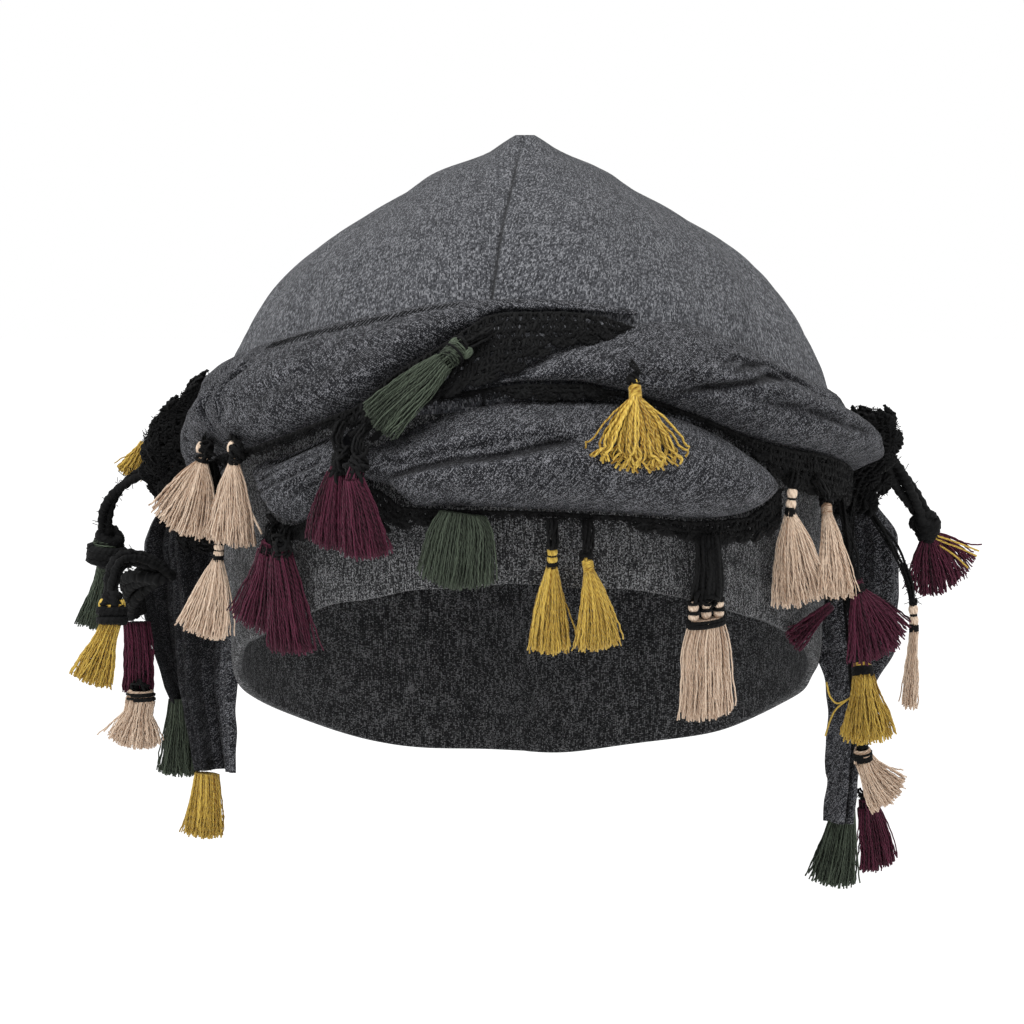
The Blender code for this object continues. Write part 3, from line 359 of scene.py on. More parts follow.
def heatherGroup(look):
    # grey melange thread by thread, as a plain weave or as the ribs of a fine knit
    group, given, out = socketGroup("heatherCloth", {
        "Place": "Vector", "Pitch": "Float", "Knit": "Float", "PaintedShade": "Float",
        "Dark": "Color", "Middle": "Color", "Light": "Color",
    }, {"Colour": "Color", "Height": "Float"})
    plus, minus, times, per = plainSums(group)

    def between(share, one, two):
        return plus(one, times(share, minus(two, one)))

    def varied(tone, by, middle, amount):
        return plus(tone, times(minus(by, middle), amount))

    place = given["Place"]
    split = added(group, "SeparateXYZ", {0: place}).outputs
    unevenness = noiseAt(group, place, look["driftScale"], 1.0, output="Color")
    drift = added(group, "SeparateXYZ", {0: unevenness}).outputs
    bends = [times(minus(drift[axis], 0.5), look["drift"]) for axis in (0, 1)]
    u, v = [plus(per(split[axis], given["Pitch"]), bends[axis]) for axis in (0, 1)]
    warp, weft = maths(group, "FLOOR", u), maths(group, "FLOOR", v)
    over = times(maths(group, "FRACT", times(plus(warp, weft), 0.5)), 2.0)
    flecks = []
    for thread, along, pitch in zip((warp, weft, warp), (v, u, v), look["fleckPitch"]):
        spot = placed(group, times(thread, look["fleckStep"]), times(along, pitch), look["fleckLift"] * pitch)
        flecks.append(noiseAt(group, spot, 1.0, 1.0))
    tone = between(given["Knit"], between(over, flecks[0], flecks[1]), flecks[2])
    longSpot = placed(group, times(warp, look["longStep"]), times(v, look["longPitch"]), look["longLift"])
    tone = varied(tone, noiseAt(group, longSpot, 1.0, 1.0), 0.5, look["longFlecks"])
    hills = [maths(group, "SINE", times(maths(group, "FRACT", thread), math.pi)) for thread in (u, v)]
    tone = varied(tone, noiseAt(group, place, look["fineScale"], 1.0), 0.5, look["fine"])
    tone = varied(tone, hills[0], 0.6, look["ridge"])
    cloud = noiseAt(group, place, look["cloudScale"], 3.0, look["cloudRough"])
    tone = varied(tone, cloud, 0.5, look["cloud"])
    colour = mixed(group, ranged(group, tone, *look["lightTones"]), given["Middle"], given["Light"])
    colour = mixed(group, ranged(group, tone, *look["darkTones"], 1.0, 0.0), colour, given["Dark"])
    # painted shade: the colour darkens as much as the piece's tone marks
    colour = mixed(group, times(given["PaintedShade"], look["hollow"]), colour, look["paintedShadeColour"])
    group.links.new(colour, out["Colour"])
    group.links.new(plus(times(*hills), tone), out["Height"])
    return group


spinLook = {
    "lead": 2.0, "start": 37.0,  # turns of the plies round a strand, and how differently strands start
    "fuzzStep": 31.0, "fuzzAlong": 900.0, "fuzzAround": 3.0,
    "tone": 0.75, "plies": 0.22, "fuzzMiddle": 0.42,
}


def yarnGroup(look):
    # twisted yarn: each strand its own tone, plies wound round it and stray light fibres
    group, given, out = socketGroup("twistedYarn", {
        "Place": "Vector", "Tone": "Float", "Dark": "Color", "Light": "Color", "Twist": "Float",
    }, {"Colour": "Color", "Height": "Float"})
    plus, minus, times, per = plainSums(group)
    around, along, _ = added(group, "SeparateXYZ", {0: given["Place"]}).outputs
    turns = plus(times(around, look["lead"]), per(along, given["Twist"]))
    turns = plus(turns, times(given["Tone"], look["start"]))
    plies = maths(group, "SINE", times(turns, 2 * math.pi))
    spun = placed(group, times(given["Tone"], look["fuzzStep"]), times(along, look["fuzzAlong"]),
                  times(around, look["fuzzAround"]))
    fuzz = noiseAt(group, spun, 1.0, 2.0)
    share = plus(times(plies, look["plies"]), minus(fuzz, look["fuzzMiddle"]))
    share = plus(times(given["Tone"], look["tone"]), share)
    share = maths(group, "MINIMUM", maths(group, "MAXIMUM", share, 0.0), 1.0)
    group.links.new(mixed(group, share, given["Dark"], given["Light"]), out["Colour"])
    group.links.new(plus(plies, fuzz), out["Height"])
    return group


heather, twisted = heatherGroup(weaveLook), yarnGroup(spinLook)
clothFinish = {
    "shadedBy": "PaintedShade", "bump": 0.8, "bumpDepth": 0.00016, "rough": 0.95, "shine": 0.15, "sheenRough": 0.6,
}
yarnFinish = {
    "shadedBy": "Tone", "bump": 0.5, "bumpDepth": 0.00012, "rough": 0.8, "shine": 0.2, "sheenRough": 0.5,
}


def threadMaterial(name, group, finish, sheen, threads, turn=None):
    # rough cloth or yarn: the group reads the piece's own UV map and tone, and the threads' values
    material = bpy.data.materials.new(name)
    material.use_nodes = True
    tree = material.node_tree
    shader = tree.nodes["Principled BSDF"]
    place = added(tree, "UVMap", uv_map="cloth").outputs[0]
    if turn is not None:
        place = added(tree, "Mapping", {"Vector": place, "Rotation": (0, 0, math.radians(turn))}).outputs[0]
    # on cloth the tone attribute holds painted shade; on yarn it is each strand's own tone
    tone = added(tree, "Attribute", attribute_name="tone").outputs["Fac"]
    inputs = {"Place": place, finish["shadedBy"]: tone, **threads}
    look = added(tree, "Group", inputs, node_tree=group).outputs
    relief = {"Strength": finish["bump"], "Distance": finish["bumpDepth"], "Height": look["Height"]}
    for label, value in (
        ("Base Color", look["Colour"]), ("Normal", added(tree, "Bump", relief).outputs["Normal"]),
        ("Roughness", finish["rough"]), ("Specular IOR Level", finish["shine"]),
        ("Sheen Weight", sheen), ("Sheen Roughness", finish["sheenRough"]),
    ):
        feed(tree, shader.inputs[label], value)
    return material


jersey = threadMaterial("heatherJersey", heather, clothFinish, 0.08, {
    "Pitch": 0.00048, "Knit": 1.0,
    "Dark": (0.012, 0.0125, 0.016, 1), "Middle": (0.072, 0.075, 0.085, 1), "Light": (0.270, 0.275, 0.294, 1),
}, turn=0.0)
scarf = threadMaterial("heatherScarf", heather, clothFinish, 0.03, {
    "Pitch": 0.00035, "Knit": 0.0,
    "Dark": (0.003, 0.003, 0.004, 1), "Middle": (0.024, 0.025, 0.030, 1), "Light": (0.270, 0.273, 0.294, 1),
}, turn=38.0)
hemCloth = threadMaterial("heatherHem", heather, clothFinish, 0.03, {
    "Pitch": 0.00033, "Knit": 0.0,
    "Dark": (0.003, 0.003, 0.004, 1), "Middle": (0.034, 0.035, 0.037, 1), "Light": (0.330, 0.332, 0.342, 1),
}, turn=0.0)
yarnLooks = {  # dark and light fibres, the twist's pitch and the sheen
    "black": ((0.0008, 0.0008, 0.0010), (0.0072, 0.0074, 0.0078), 0.0014, 0.01),
    "beige": ((0.33, 0.200, 0.125), (0.96, 0.770, 0.600), 0.0016, 0.1),
    "mustard": ((0.20, 0.090, 0.006), (0.82, 0.58, 0.115), 0.0016, 0.1),
    "plum": ((0.003, 0.0006, 0.0014), (0.138, 0.025, 0.056), 0.0016, 0.03),
    "green": ((0.001, 0.002, 0.001), (0.106, 0.134, 0.094), 0.0016, 0.03),
}
yarns = {
    colour: threadMaterial(colour + "Yarn", twisted, yarnFinish, sheen, {
        "Dark": (*dark, 1), "Light": (*light, 1), "Twist": twist,
    }) for colour, (dark, light, twist, sheen) in yarnLooks.items()
}
print("materials made")


# Floor, light and camera

studio = {
    "floor": -0.20, "target": (-0.0035, 0.0, 0.0454), "distance": 1.2, "down": 5.0, "lens": 156.09,
    "sky": 0.62, "backdrop": 1.0,  # how strongly the white surround lights the cap, and how bright it looks
    "sun": 2.1, "sunSize": 50.0, "sunFrom": (-0.25, -0.58, 1.3),
}


def linked(name, data, heading):
    # a lamp or a camera that looks along the heading
    piece = bpy.data.objects.new(name, data)
    piece.rotation_euler = heading.to_track_quat("-Z", "Y").to_euler()
    bpy.context.scene.collection.objects.link(piece)
    return piece


def makeStudio():
    bpy.ops.mesh.primitive_plane_add(size=12, location=(0, 0, studio["floor"]))
    floor = bpy.context.object
    floor.name = "floor"
    paint = bpy.data.materials.new("paleFloor")
    paint.use_nodes = True
    coat = paint.node_tree.nodes["Principled BSDF"].inputs
    coat["Base Color"].default_value = (0.95, 0.95, 0.95, 1)
    coat["Roughness"].default_value = 1.0
    coat["Specular IOR Level"].default_value = 0.0
    floor.data.materials.append(paint)
    world = bpy.data.worlds.new("studioWorld")
    bpy.context.scene.world = world
    world.use_nodes = True
    tree = world.node_tree
    seen = added(tree, "LightPath").outputs["Is Camera Ray"]
    strength = maths(tree, "MULTIPLY", seen, studio["backdrop"] - studio["sky"])
    surround = tree.nodes["Background"].inputs
    tree.links.new(maths(tree, "ADD", strength, studio["sky"]), surround["Strength"])
    surround["Color"].default_value = (1.0, 1.0, 1.0, 1)
    light = bpy.data.lights.new("softKey", "SUN")
    light.energy = studio["sun"]
    light.angle = math.radians(studio["sunSize"])
    linked("softKey", light, -Vector(studio["sunFrom"]))
    camera = bpy.data.cameras.new("camera")
    camera.sensor_width = 36
    camera.lens = studio["lens"]
    tilt = math.radians(studio["down"])
    heading = Vector((0, math.cos(tilt), -math.sin(tilt)))
    eye = linked("camera", camera, heading)
    eye.location = Vector(studio["target"]) - heading * studio["distance"]
    bpy.context.scene.camera = eye
    bpy.context.scene.view_settings.view_transform = "Standard"


makeStudio()
print("studio made")


# The jersey cap

crownLook = {
    "around": 300,
    "wall": 0.0018, "tipWall": 0.0011,  # the second one is how much lower the inside's tip is
    "seams": (-7.5, 172.5),
    "seamWidth": 0.0005,  # half the width of the sunk line
    "seamDepth": 0.0012, "seamShade": 0.75,
    "pinch": (0.18, 2.4, 0.0042),  # rise and place as shares of depth and width, then a stitch's length
    "joint": (0.079, 0.027),  # its height at the brow and at the nape
    "overlap": 0.0012,  # from the joint up
    "finer": 0.62,  # the share of the height above which the rings lie closer
    "tipFrom": 0.93,  # the share of the height above which swells and seams fade
    "lid": (0.5, 0.985),  # the rings that close the tip, as shares of its width
    "lean": (0.25, 0.09),  # how much the knit leans towards the seam, and how far from it
    "swells": ((0.00035, 0.030, 3), (0.00012, 0.009, 4)),
    "creases": (
        (0.5, 1.6, 0.3, ((-67.0, 0.905), (-58.0, 0.915), (-50.0, 0.918))),
        (0.4, 2.5, 0.0, ((-60.0, 0.72), (-48.0, 0.76), (-30.0, 0.78))),
        (0.4, 3.0, 0.0, ((20.0, 0.74), (38.0, 0.75), (60.0, 0.73))),
    ),
}


def seamLines(azimuth, height, look):
    # sunk lines with the cloth pinched up a little on both sides of each
    rise, place, stitch = look["pinch"]
    pinch = rise * (1.0 + 0.5 * np.sin(height * 2 * math.pi / stitch))
    total = 0.0
    for seam in look["seams"]:
        away = np.abs(turned(azimuth, seam)) * perDegree(azimuth, height) / look["seamWidth"]
        total = total + look["seamDepth"] * (pinch * np.exp(-(away - place) ** 2) - np.exp(-away ** 2))
    return total


def placesAlong(across, metre):
    # the cloth's places along a closed ring, outside and inside, with the row that closes it
    both = np.concatenate([across, across[:1] + 360 * metre[:1]])
    both = np.concatenate([both, both[:, ::-1]], axis=1)
    return np.concatenate([both, both[:, :1]], axis=1)


def makeCrown(look):
    front, back = look["seams"]
    flank = math.degrees(look["seamWidth"] / cap["halfDepth"])
    steps = [shift * flank for shift in (-4.5, -3, -2, -1.2, -0.6, 0, 0.6, 1.2, 2, 3, 4.5)]
    even = np.linspace(back - 360, back, look["around"], endpoint=False)
    azimuths = [a for a in even if all(abs(turned(a, seam)) > 5 * flank for seam in look["seams"])]
    azimuths += [front + step for step in steps] + [back - (360 if step >= 0 else 0) + step for step in steps]
    finer = look["finer"]
    spans = np.concatenate([np.linspace(0, finer, 46)[:-1], np.linspace(finer, 1, 44), [1.0, 1.0]])
    azimuth, span = np.meshgrid(sorted(azimuths), spans, indexing="ij")
    joint = tilted(azimuth, *look["joint"]) + look["overlap"]
    height = joint + (cap["height"] * 0.9995 - joint) * span
    metre = perDegree(azimuth, height)
    across = (azimuth - front) * metre
    fade = 1 - np.clip((height / cap["height"] - look["tipFrom"]) / (1 - look["tipFrom"]), 0, 1)
    out = (seamLines(azimuth, height, look) + swells(across, height, look["swells"])) * fade
    out = out + creased(turned(azimuth, 0.0), height, look["creases"])
    wide = halfSizes(height)[0]
    out[:, -2:] = -wide[:, -2:] * np.array(look["lid"])
    outer = onCap(azimuth, height, out)
    inside = np.maximum(out - look["wall"], -look["lid"][1] * wide)
    inner = onCap(azimuth, height - look["tipWall"] * (1 - fade), inside)
    lean, reach = look["lean"]
    along = across - lean * np.sign(across) * height * np.clip(1 - np.abs(across) / reach, 0, 1)
    # painted shade along the seams' sunk lines
    hollow = 0.0
    for seam in look["seams"]:
        away = np.abs(turned(azimuth, seam)) * metre / (1.1 * look["seamWidth"])
        hollow = np.maximum(hollow, look["seamShade"] * np.exp(-away ** 2) * fade)
    rings = np.concatenate([outer, inner[:, ::-1]], axis=1)
    hollow = np.concatenate([hollow, 0 * hollow], axis=1)
    return cloth("crownCloth", rings, hollow, placesAlong(along, metre))


dressed(makeCrown(crownLook), jersey, "jersey", "crown")

bandLook = {
    "around": 300,
    "wall": 0.0026,
    "rim": (0.0355, -0.033),  # its height at the brow and at the nape, as for the joint
    "joint": (0.079, 0.027),
    "edge": ((0.0, 0.5), (0.0, 0.2), (0.004, 0.06), (0.012, 0.0), (0.03, 0.0)),  # how the rim rounds off
    "ridges": ((0.011, 0.0006, -0.0005), (0.004, 0.004, 0.0004)),  # stitches, full edge: place, width, lift
    "rimSwells": ((0.0005, 0.03, 8),),
    "swells": ((0.0003, 0.02, 9),),
    "inside": 0.55,  # painted shade on the lining: how much darker it is drawn
}


def makeBand(look):
    azimuths = np.linspace(-180, 180, look["around"], endpoint=False)
    rounding = np.array(look["edge"])
    spans = np.concatenate([rounding[:, 0], np.linspace(0.05, 0.97, 40), [1.0]])
    edge = np.concatenate([rounding[:, 1], np.zeros(41)])
    azimuth, span = np.meshgrid(azimuths, spans, indexing="ij")
    rim, joint = tilted(azimuth, *look["rim"]), tilted(azimuth, *look["joint"])
    metre = perDegree(azimuth, rim)
    across = azimuth * metre
    rim = rim + swells(across, 0 * across, look["rimSwells"])
    height = rim + (joint - rim) * span
    out = swells(across, height, look["swells"]) - edge * look["wall"]
    for place, width, lift in look["ridges"]:
        out = out + lift * np.exp(-((height - rim - place) / width) ** 2)
    outer = onCap(azimuth, height, out)
    inner = onCap(azimuth, height, np.minimum(-look["wall"] * (1 - edge), out - 0.0001))
    rings = np.concatenate([outer, inner[:, ::-1]], axis=1)
    # painted shade on the inside of the band
    hollow = np.concatenate([0 * span, 0 * span + look["inside"]], axis=1)
    return cloth("bandCloth", rings, hollow, placesAlong(across, metre))


dressed(makeBand(bandLook), hemCloth, "jersey", "brow_band")
print("cap made")


# The scarf's rolls

rollLook = {
    "seat": 0.0008, "edge": 0.0016, "bulge": 0.0125, "crest": 0.85, "fullness": 0.80,
    "foldDepth": 0.0034, "foldEnds": 0.17,
    "sagCrest": 0.42, "sagFullness": 0.8,  # how a hanging roll's fullest line moves down
    "swells": ((0.0007, 0.022, 11), (0.00022, 0.007, 12)),
    "shadeFrom": 0.0003, "shadeOver": 0.0011,  # painted shade in creases: the depth at which it starts, and how much deeper it is darkest
}

rolls = {
    "upperRoll": {
        "node": "wrap_upper", "steps": 760, "rows": 84,
        "shape": (  # azimuth, low edge, high edge, bulge
            (22.5, 0.693, 0.703, 0.06), (7.5, 0.704, 0.720, 0.12), (-4.0, 0.704, 0.722, 0.18),
            (-11.0, 0.674, 0.720, 0.38), (-18.0, 0.630, 0.714, 0.62), (-23.0, 0.595, 0.708, 0.72),
            (-27.0, 0.553, 0.702, 0.85), (-37.0, 0.508, 0.684, 0.95), (-48.0, 0.466, 0.662, 0.90),
            (-60.0, 0.445, 0.634, 0.78), (-75.0, 0.398, 0.600, 0.62), (-90.0, 0.345, 0.575, 0.56),
            (-120.0, 0.255, 0.540, 0.90), (-150.0, 0.165, 0.500, 1.05), (-180.7, 0.110, 0.480, 0.80),
        ),
        "folds": (  # from azimuth to azimuth, from share to share of the width, depth, reach
            (-20.0, -62.0, 0.62, 0.34, 0.45, 0.09), (-56.0, -82.0, 0.95, 0.10, 1.00, 0.10),
            (-62.0, -100.0, 0.86, 0.60, 0.60, 0.09), (-84.0, -181.0, 0.34, 0.30, 0.80, 0.10),
            (-96.0, -181.0, 0.68, 0.66, 0.85, 0.10),
        ),
        "creases": (
            (3.2, 0.7, 1.2, ((-59.5, 0.478), (-61.0, 0.520), (-61.0, 0.560), (-58.5, 0.590), (-55.5, 0.608))),
            (1.7, 0.6, 0.6, ((-56.0, 0.492), (-57.2, 0.540), (-56.5, 0.575), (-53.0, 0.602))),
            (1.0, 0.8, 0.3, ((-51.7, 0.618), (-45.8, 0.643), (-37.4, 0.666), (-29.7, 0.680), (-19.9, 0.700))),
            (0.8, 3.2, 0.4, ((-50.7, 0.509), (-40.1, 0.574), (-31.2, 0.619), (-22.4, 0.655))),
            (0.4, 1.6, 0.2, ((-49.8, 0.578), (-42.0, 0.615), (-31.9, 0.644))),
            (0.6, 2.2, 0.3, ((-41.3, 0.540), (-32.1, 0.586), (-21.9, 0.635), (-13.5, 0.673))),
        ),
        "loose": (-84.0, -178.0, 16),
    },
    "rightRoll": {
        "node": "wrap_right", "steps": 720, "rows": 80,
        "shape": (
            (-7.5, 0.578, 0.585, 0.06), (0.0, 0.587, 0.612, 0.36), (7.5, 0.587, 0.646, 0.60),
            (15.0, 0.574, 0.660, 0.76), (22.5, 0.552, 0.680, 0.88), (30.0, 0.525, 0.681, 0.92),
            (37.0, 0.498, 0.668, 0.92), (45.0, 0.474, 0.640, 0.90), (60.0, 0.442, 0.580, 0.84),
            (80.0, 0.405, 0.534, 0.86), (90.0, 0.392, 0.524, 0.90), (104.0, 0.340, 0.515, 0.80),
            (120.0, 0.265, 0.515, 0.95), (150.0, 0.165, 0.492, 1.05), (180.7, 0.110, 0.480, 0.80),
        ),
        "folds": (
            (12.0, 66.0, 0.30, 0.42, 0.75, 0.10), (30.0, 78.0, 0.66, 0.72, 0.65, 0.09),
            (84.0, 181.0, 0.36, 0.32, 0.85, 0.10), (70.0, 181.0, 0.72, 0.66, 0.80, 0.10),
        ),
        "creases": (
            (1.9, 0.9, -0.8, ((20.7, 0.560), (28.6, 0.573), (36.0, 0.580), (44.3, 0.586), (51.3, 0.569))),
            (0.9, 0.7, 0.4, ((32.1, 0.613), (37.3, 0.618), (41.2, 0.613))),
            (1.2, 0.7, 0.5, ((32.8, 0.596), (38.3, 0.607), (45.3, 0.606), (48.9, 0.584), (56.5, 0.554))),
            (0.9, 0.7, 0.3, ((30.8, 0.636), (37.3, 0.638), (43.6, 0.622))),
            (0.8, 0.6, 0.3, ((29.9, 0.665), (32.9, 0.661), (35.5, 0.650))),
            (1.1, 0.9, 0.3, ((36.2, 0.551), (47.3, 0.537), (62.0, 0.493), (76.0, 0.460))),
            (0.5, 1.0, 0.2, ((32.2, 0.540), (42.3, 0.518), (54.8, 0.486), (70.4, 0.445))),
            (0.4, 2.5, 0.0, ((5.5, 0.608), (12.3, 0.621), (21.0, 0.622))),
            (0.4, 3.0, 0.2, ((12.5, 0.640), (23.3, 0.647), (30.7, 0.633))),
        ),
        "loose": (70.0, 178.0, 16), "sag": (88.0, 17.0),
    },
    "lowerRoll": {
        "node": "wrap_lower", "steps": 360, "rows": 90,
        "shape": (
            (-29.0, 0.420, 0.462, 0.25), (-22.0, 0.408, 0.490, 0.75), (-18.0, 0.376, 0.512, 0.92),
            (-12.0, 0.379, 0.534, 1.05), (0.0, 0.375, 0.555, 1.16), (13.0, 0.368, 0.552, 1.22),
            (23.0, 0.357, 0.534, 1.24), (33.0, 0.349, 0.496, 1.14), (38.0, 0.352, 0.468, 0.95),
            (42.0, 0.368, 0.440, 0.66), (44.5, 0.392, 0.412, 0.22),
        ),
        "folds": ((-24.0, 12.0, 0.52, 0.70, 0.95, 0.08),),
        "creases": (
            (2.6, 0.8, -1.0, (
                (-22.5, 0.419), (-17.1, 0.441), (-10.4, 0.460), (-3.3, 0.469), (2.9, 0.485), (9.2, 0.496),
            )),
            (0.6, 4.0, 0.0, ((-3.9, 0.412), (4.9, 0.445), (10.9, 0.428))),
            (0.5, 2.0, 0.2, ((26.7, 0.422), (33.8, 0.436), (38.7, 0.458))),
            (0.5, 3.0, -0.3, ((17.3, 0.526), (27.0, 0.506), (35.8, 0.468))),
        ),
    },
    "pleatedRoll": {
        "node": "wrap_pleats", "steps": 150, "rows": 90,
        "shape": (
            (-51.0, 0.396, 0.436, 0.35), (-47.0, 0.356, 0.444, 0.62), (-43.0, 0.332, 0.456, 0.78),
            (-37.0, 0.352, 0.482, 0.80), (-31.0, 0.384, 0.502, 0.60),
        ),
        "folds": ((-52.0, -30.0, 0.30, 0.36, 0.22, 0.09), (-52.0, -30.0, 0.56, 0.66, 0.28, 0.09)),
        "creases": (
            (1.3, 0.6, -0.4, ((-50.0, 0.418), (-42.4, 0.450), (-33.6, 0.487))),
            (1.2, 0.6, -0.4, ((-47.8, 0.378), (-38.2, 0.421), (-32.1, 0.452))),
            (0.8, 0.5, 0.3, ((-49.5, 0.398), (-40.3, 0.436), (-32.6, 0.470))),
            (0.7, 0.5, 0.2, ((-44.1, 0.355), (-36.3, 0.396), (-31.3, 0.430))),
            (0.5, 0.5, 0.2, ((-46.0, 0.366), (-37.2, 0.408), (-31.8, 0.441))),
            (0.6, 0.5, 0.2, ((-45.5, 0.436), (-38.3, 0.465), (-34.1, 0.492))),
        ),
    },
}


def foldsOf(folds, azimuth, share):
    total = 0.0
    for first, last, shareOne, shareTwo, depth, reach in folds:
        way = (azimuth - first) / (last - first)
        ends = np.clip(np.minimum(way, 1 - way) / rollLook["foldEnds"], 0, 1)
        across = (share - shareOne - (shareTwo - shareOne) * way) / reach
        total = total + rollLook["foldDepth"] * depth * ends * np.exp(-across ** 2)
    return total


def looseCreases(shape, first, last, count, seed):
    # long slack folds that run along a roll, each a little off its line
    chance = np.random.default_rng(seed)
    read = smoothTable(shape)
    lines = []
    for index in range(count):
        start = chance.uniform(min(first, last) - 5, max(first, last) - 20)
        end = min(start + chance.uniform(18, 55), max(first, last))
        share, drift = (index + 0.5) / count + chance.uniform(-0.04, 0.04), chance.uniform(-0.16, 0.16)
        points = []
        for number, place in enumerate(np.linspace(start, end, 4)):
            low, high, _ = read(place)
            points.append((float(place), float(low + (high - low) * (share + drift * number / 3))))
        lines.append((chance.uniform(0.4, 1.2), chance.uniform(0.8, 2.0), chance.uniform(-0.5, 0.5), points))
    return lines


def creasesOf(name, look):
    loose = looseCreases(look["shape"], *look["loose"], seed=len(name) + 40) if "loose" in look else []
    return [*look["creases"], *loose]


rollReaders = {name: smoothTable(look["shape"]) for name, look in rolls.items()}
rollCreases = {name: creasesOf(name, look) for name, look in rolls.items()}


def rollSurface(name, azimuth, share):
    # a place on a roll's outside: its height, its distance from the cap and how far a crease sinks there
    look = rolls[name]
    low, high, bulge = rollReaders[name](azimuth)
    height = cap["height"] * (low + (high - low) * share)
    across = azimuth * float(perDegree((look["shape"][0][0] + look["shape"][-1][0]) / 2, 0.06))
    sag = 0.0  # lets a roll hang, fullest near its low edge
    if "sag" in look:
        place, reach = look["sag"]
        sag = np.exp(-((azimuth - place) / reach) ** 2)
    rise = np.sin(math.pi * np.clip(share, 0, 1) ** (rollLook["crest"] - rollLook["sagCrest"] * sag))
    fullness = np.clip(rise, 0, 1) ** (rollLook["fullness"] + rollLook["sagFullness"] * sag)
    out = rollLook["seat"] + rollLook["edge"] + rollLook["bulge"] * bulge * fullness
    body = np.clip(bulge / 0.5, 0, 1) * np.sin(math.pi * np.clip(share, 0, 1)) ** 0.5
    sunk = creased(azimuth, height, rollCreases[name])
    out = out - foldsOf(look["folds"], azimuth, share)
    out = out + (sunk + swells(across, height, rollLook["swells"], len(name))) * body
    return height, np.maximum(out, rollLook["seat"] + 0.8 * rollLook["edge"]), sunk * body


def makeRoll(name, look):
    azimuths = np.linspace(look["shape"][0][0], look["shape"][-1][0], look["steps"])
    even = np.linspace(0, 1, look["rows"])
    shares = 0.3 * (1 - np.cos(math.pi * even)) + 0.4 * even  # closer together at the edges
    azimuth, share = np.meshgrid(azimuths, shares, indexing="ij")
    height, out, sunk = rollSurface(name, azimuth, share)
    outer = onCap(azimuth, height, out)
    around, back = np.meshgrid(azimuths, np.linspace(1, 0, 8), indexing="ij")
    low, high, _ = rollReaders[name](around)
    inner = onCap(around, cap["height"] * (low + (high - low) * back), rollLook["seat"])
    # painted shade in the creases
    hollow = np.clip((-sunk - rollLook["shadeFrom"]) / rollLook["shadeOver"], 0, 1)
    hollow = np.concatenate([hollow, 0 * around], axis=1)
    return cloth(name, np.concatenate([outer, inner], axis=1), hollow)


for rollName, rollData in rolls.items():
    roll = dressed(makeRoll(rollName, rollData), scarf, "scarf", rollData["node"])

hems = {  # rows of small stitches: roll, azimuth to azimuth, then a stitch's start and end across the roll
    "upperHem": ("upperRoll", -54.0, -13.0, 0.885, 0.955),
    "pleatHem": ("pleatedRoll", -48.0, -33.0, 0.88, 0.955),
}
hemLook = {"pitch": 0.00125, "lean": 0.35, "thick": 0.00017, "arch": 0.00022, "sunk": 0.00005}


def makeHem(name, roll, first, last, start, end):
    chance = np.random.default_rng(len(name))
    metre = float(perDegree((first + last) / 2, 0.09))
    spots = np.arange(first, last, hemLook["pitch"] / metre)
    spots = spots + chance.normal(0, 0.06, len(spots))
    ways = np.linspace(0, 1, 5)
    azimuth = spots[:, None] + hemLook["lean"] * ways[None]
    share = start + (end - start) * ways[None] + chance.normal(0, 0.004, (len(spots), 1))
    height, out, _ = rollSurface(roll, azimuth, share)
    paths = onCap(azimuth, height, out + hemLook["arch"] * np.sin(math.pi * ways)[None] - hemLook["sunk"])
    return yarnObject(name, [tubes(paths, hemLook["thick"], chance.uniform(0.2, 1.0, len(spots)))])


for hemName, hemData in hems.items():
    dressed(makeHem(hemName, *hemData), yarns["black"], "scarf", rolls[hemData[0]]["node"])
print("rolls made")


# The crocheted lace

crochetLook = {
    "row": 0.0020,  # height of a row of posts
    "post": 0.00082,  # from one post to the next
    "eyelet": 4,  # every so many posts one is left out, in every other row
    "thick": 0.00046,
    "arch": (0.0003, 0.0005),  # how far out a post is at its ends, and how much more between
    "uneven": 0.00022,
    "chain": (0.0006, 0.00034, 0.00030),  # the two yarns' middle, then how far they turn out and down
    "chainTurn": 0.0017, "chainStep": 0.00048,
    "scallop": 0.0058, "spokes": 9,
    "fan": 0.0016,  # the width that the fans take up
    "fansFrom": 0.0023,  # narrower lace has none
    "fuzz": 0.9,  # loose hairs to a square millimetre
    "hair": (0.0005, 0.0016), "hairLift": (0.0003, 0.0013), "hairThick": 0.00013,
}


def wobble(chance, count, length, size):
    # small uneven bends for a bundle of yarns
    steps = chance.normal(0, 1, (count, length, 3))
    soft = (steps + np.roll(steps, 1, axis=1) + np.roll(steps, -1, axis=1)) / 1.8
    return soft * size


def withoutFan(widths):
    return np.maximum(widths - crochetLook["fan"], 0.3 * widths)


def makePosts(place, length, widthAt, chance, points, sides):
    look = crochetLook
    count = max(2, int(length / look["post"]))
    spots = (np.arange(count) + 0.5) / count * length
    body = withoutFan(widthAt(spots))
    rows = max(int(math.ceil(body.max() / look["row"])), 1)
    ways = np.linspace(0, 1, points)
    groups = []
    for row in range(rows):
        top = row * look["row"]
        bottom = np.minimum(top + look["row"], body)
        kept = bottom - top > (0.3 * look["row"] if row else 0.0)
        kept &= ((np.arange(count) + row) % look["eyelet"] != 0) | (row % 2 == 1)
        total = int(kept.sum())
        if not total:
            continue
        along = spots[kept][:, None] + chance.normal(0, look["uneven"], (total, 1)) * (2 * ways[None] - 1)
        down = top + (bottom[kept] - top)[:, None] * ways[None]
        out = look["arch"][0] + look["arch"][1] * np.sin(math.pi * ways)[None]
        out = out + chance.normal(0, look["uneven"], (total, 1))
        paths = place(along, down, out) + wobble(chance, total, points, 0.00010)
        swell = 1 + 0.25 * np.sin(math.pi * ways * 3)[None]
        thick = look["thick"] * swell * chance.uniform(0.8, 1.15, (total, 1))
        groups.append(tubes(paths, thick, chance.uniform(0.0, 1.0, total), sides))
    return groups, rows


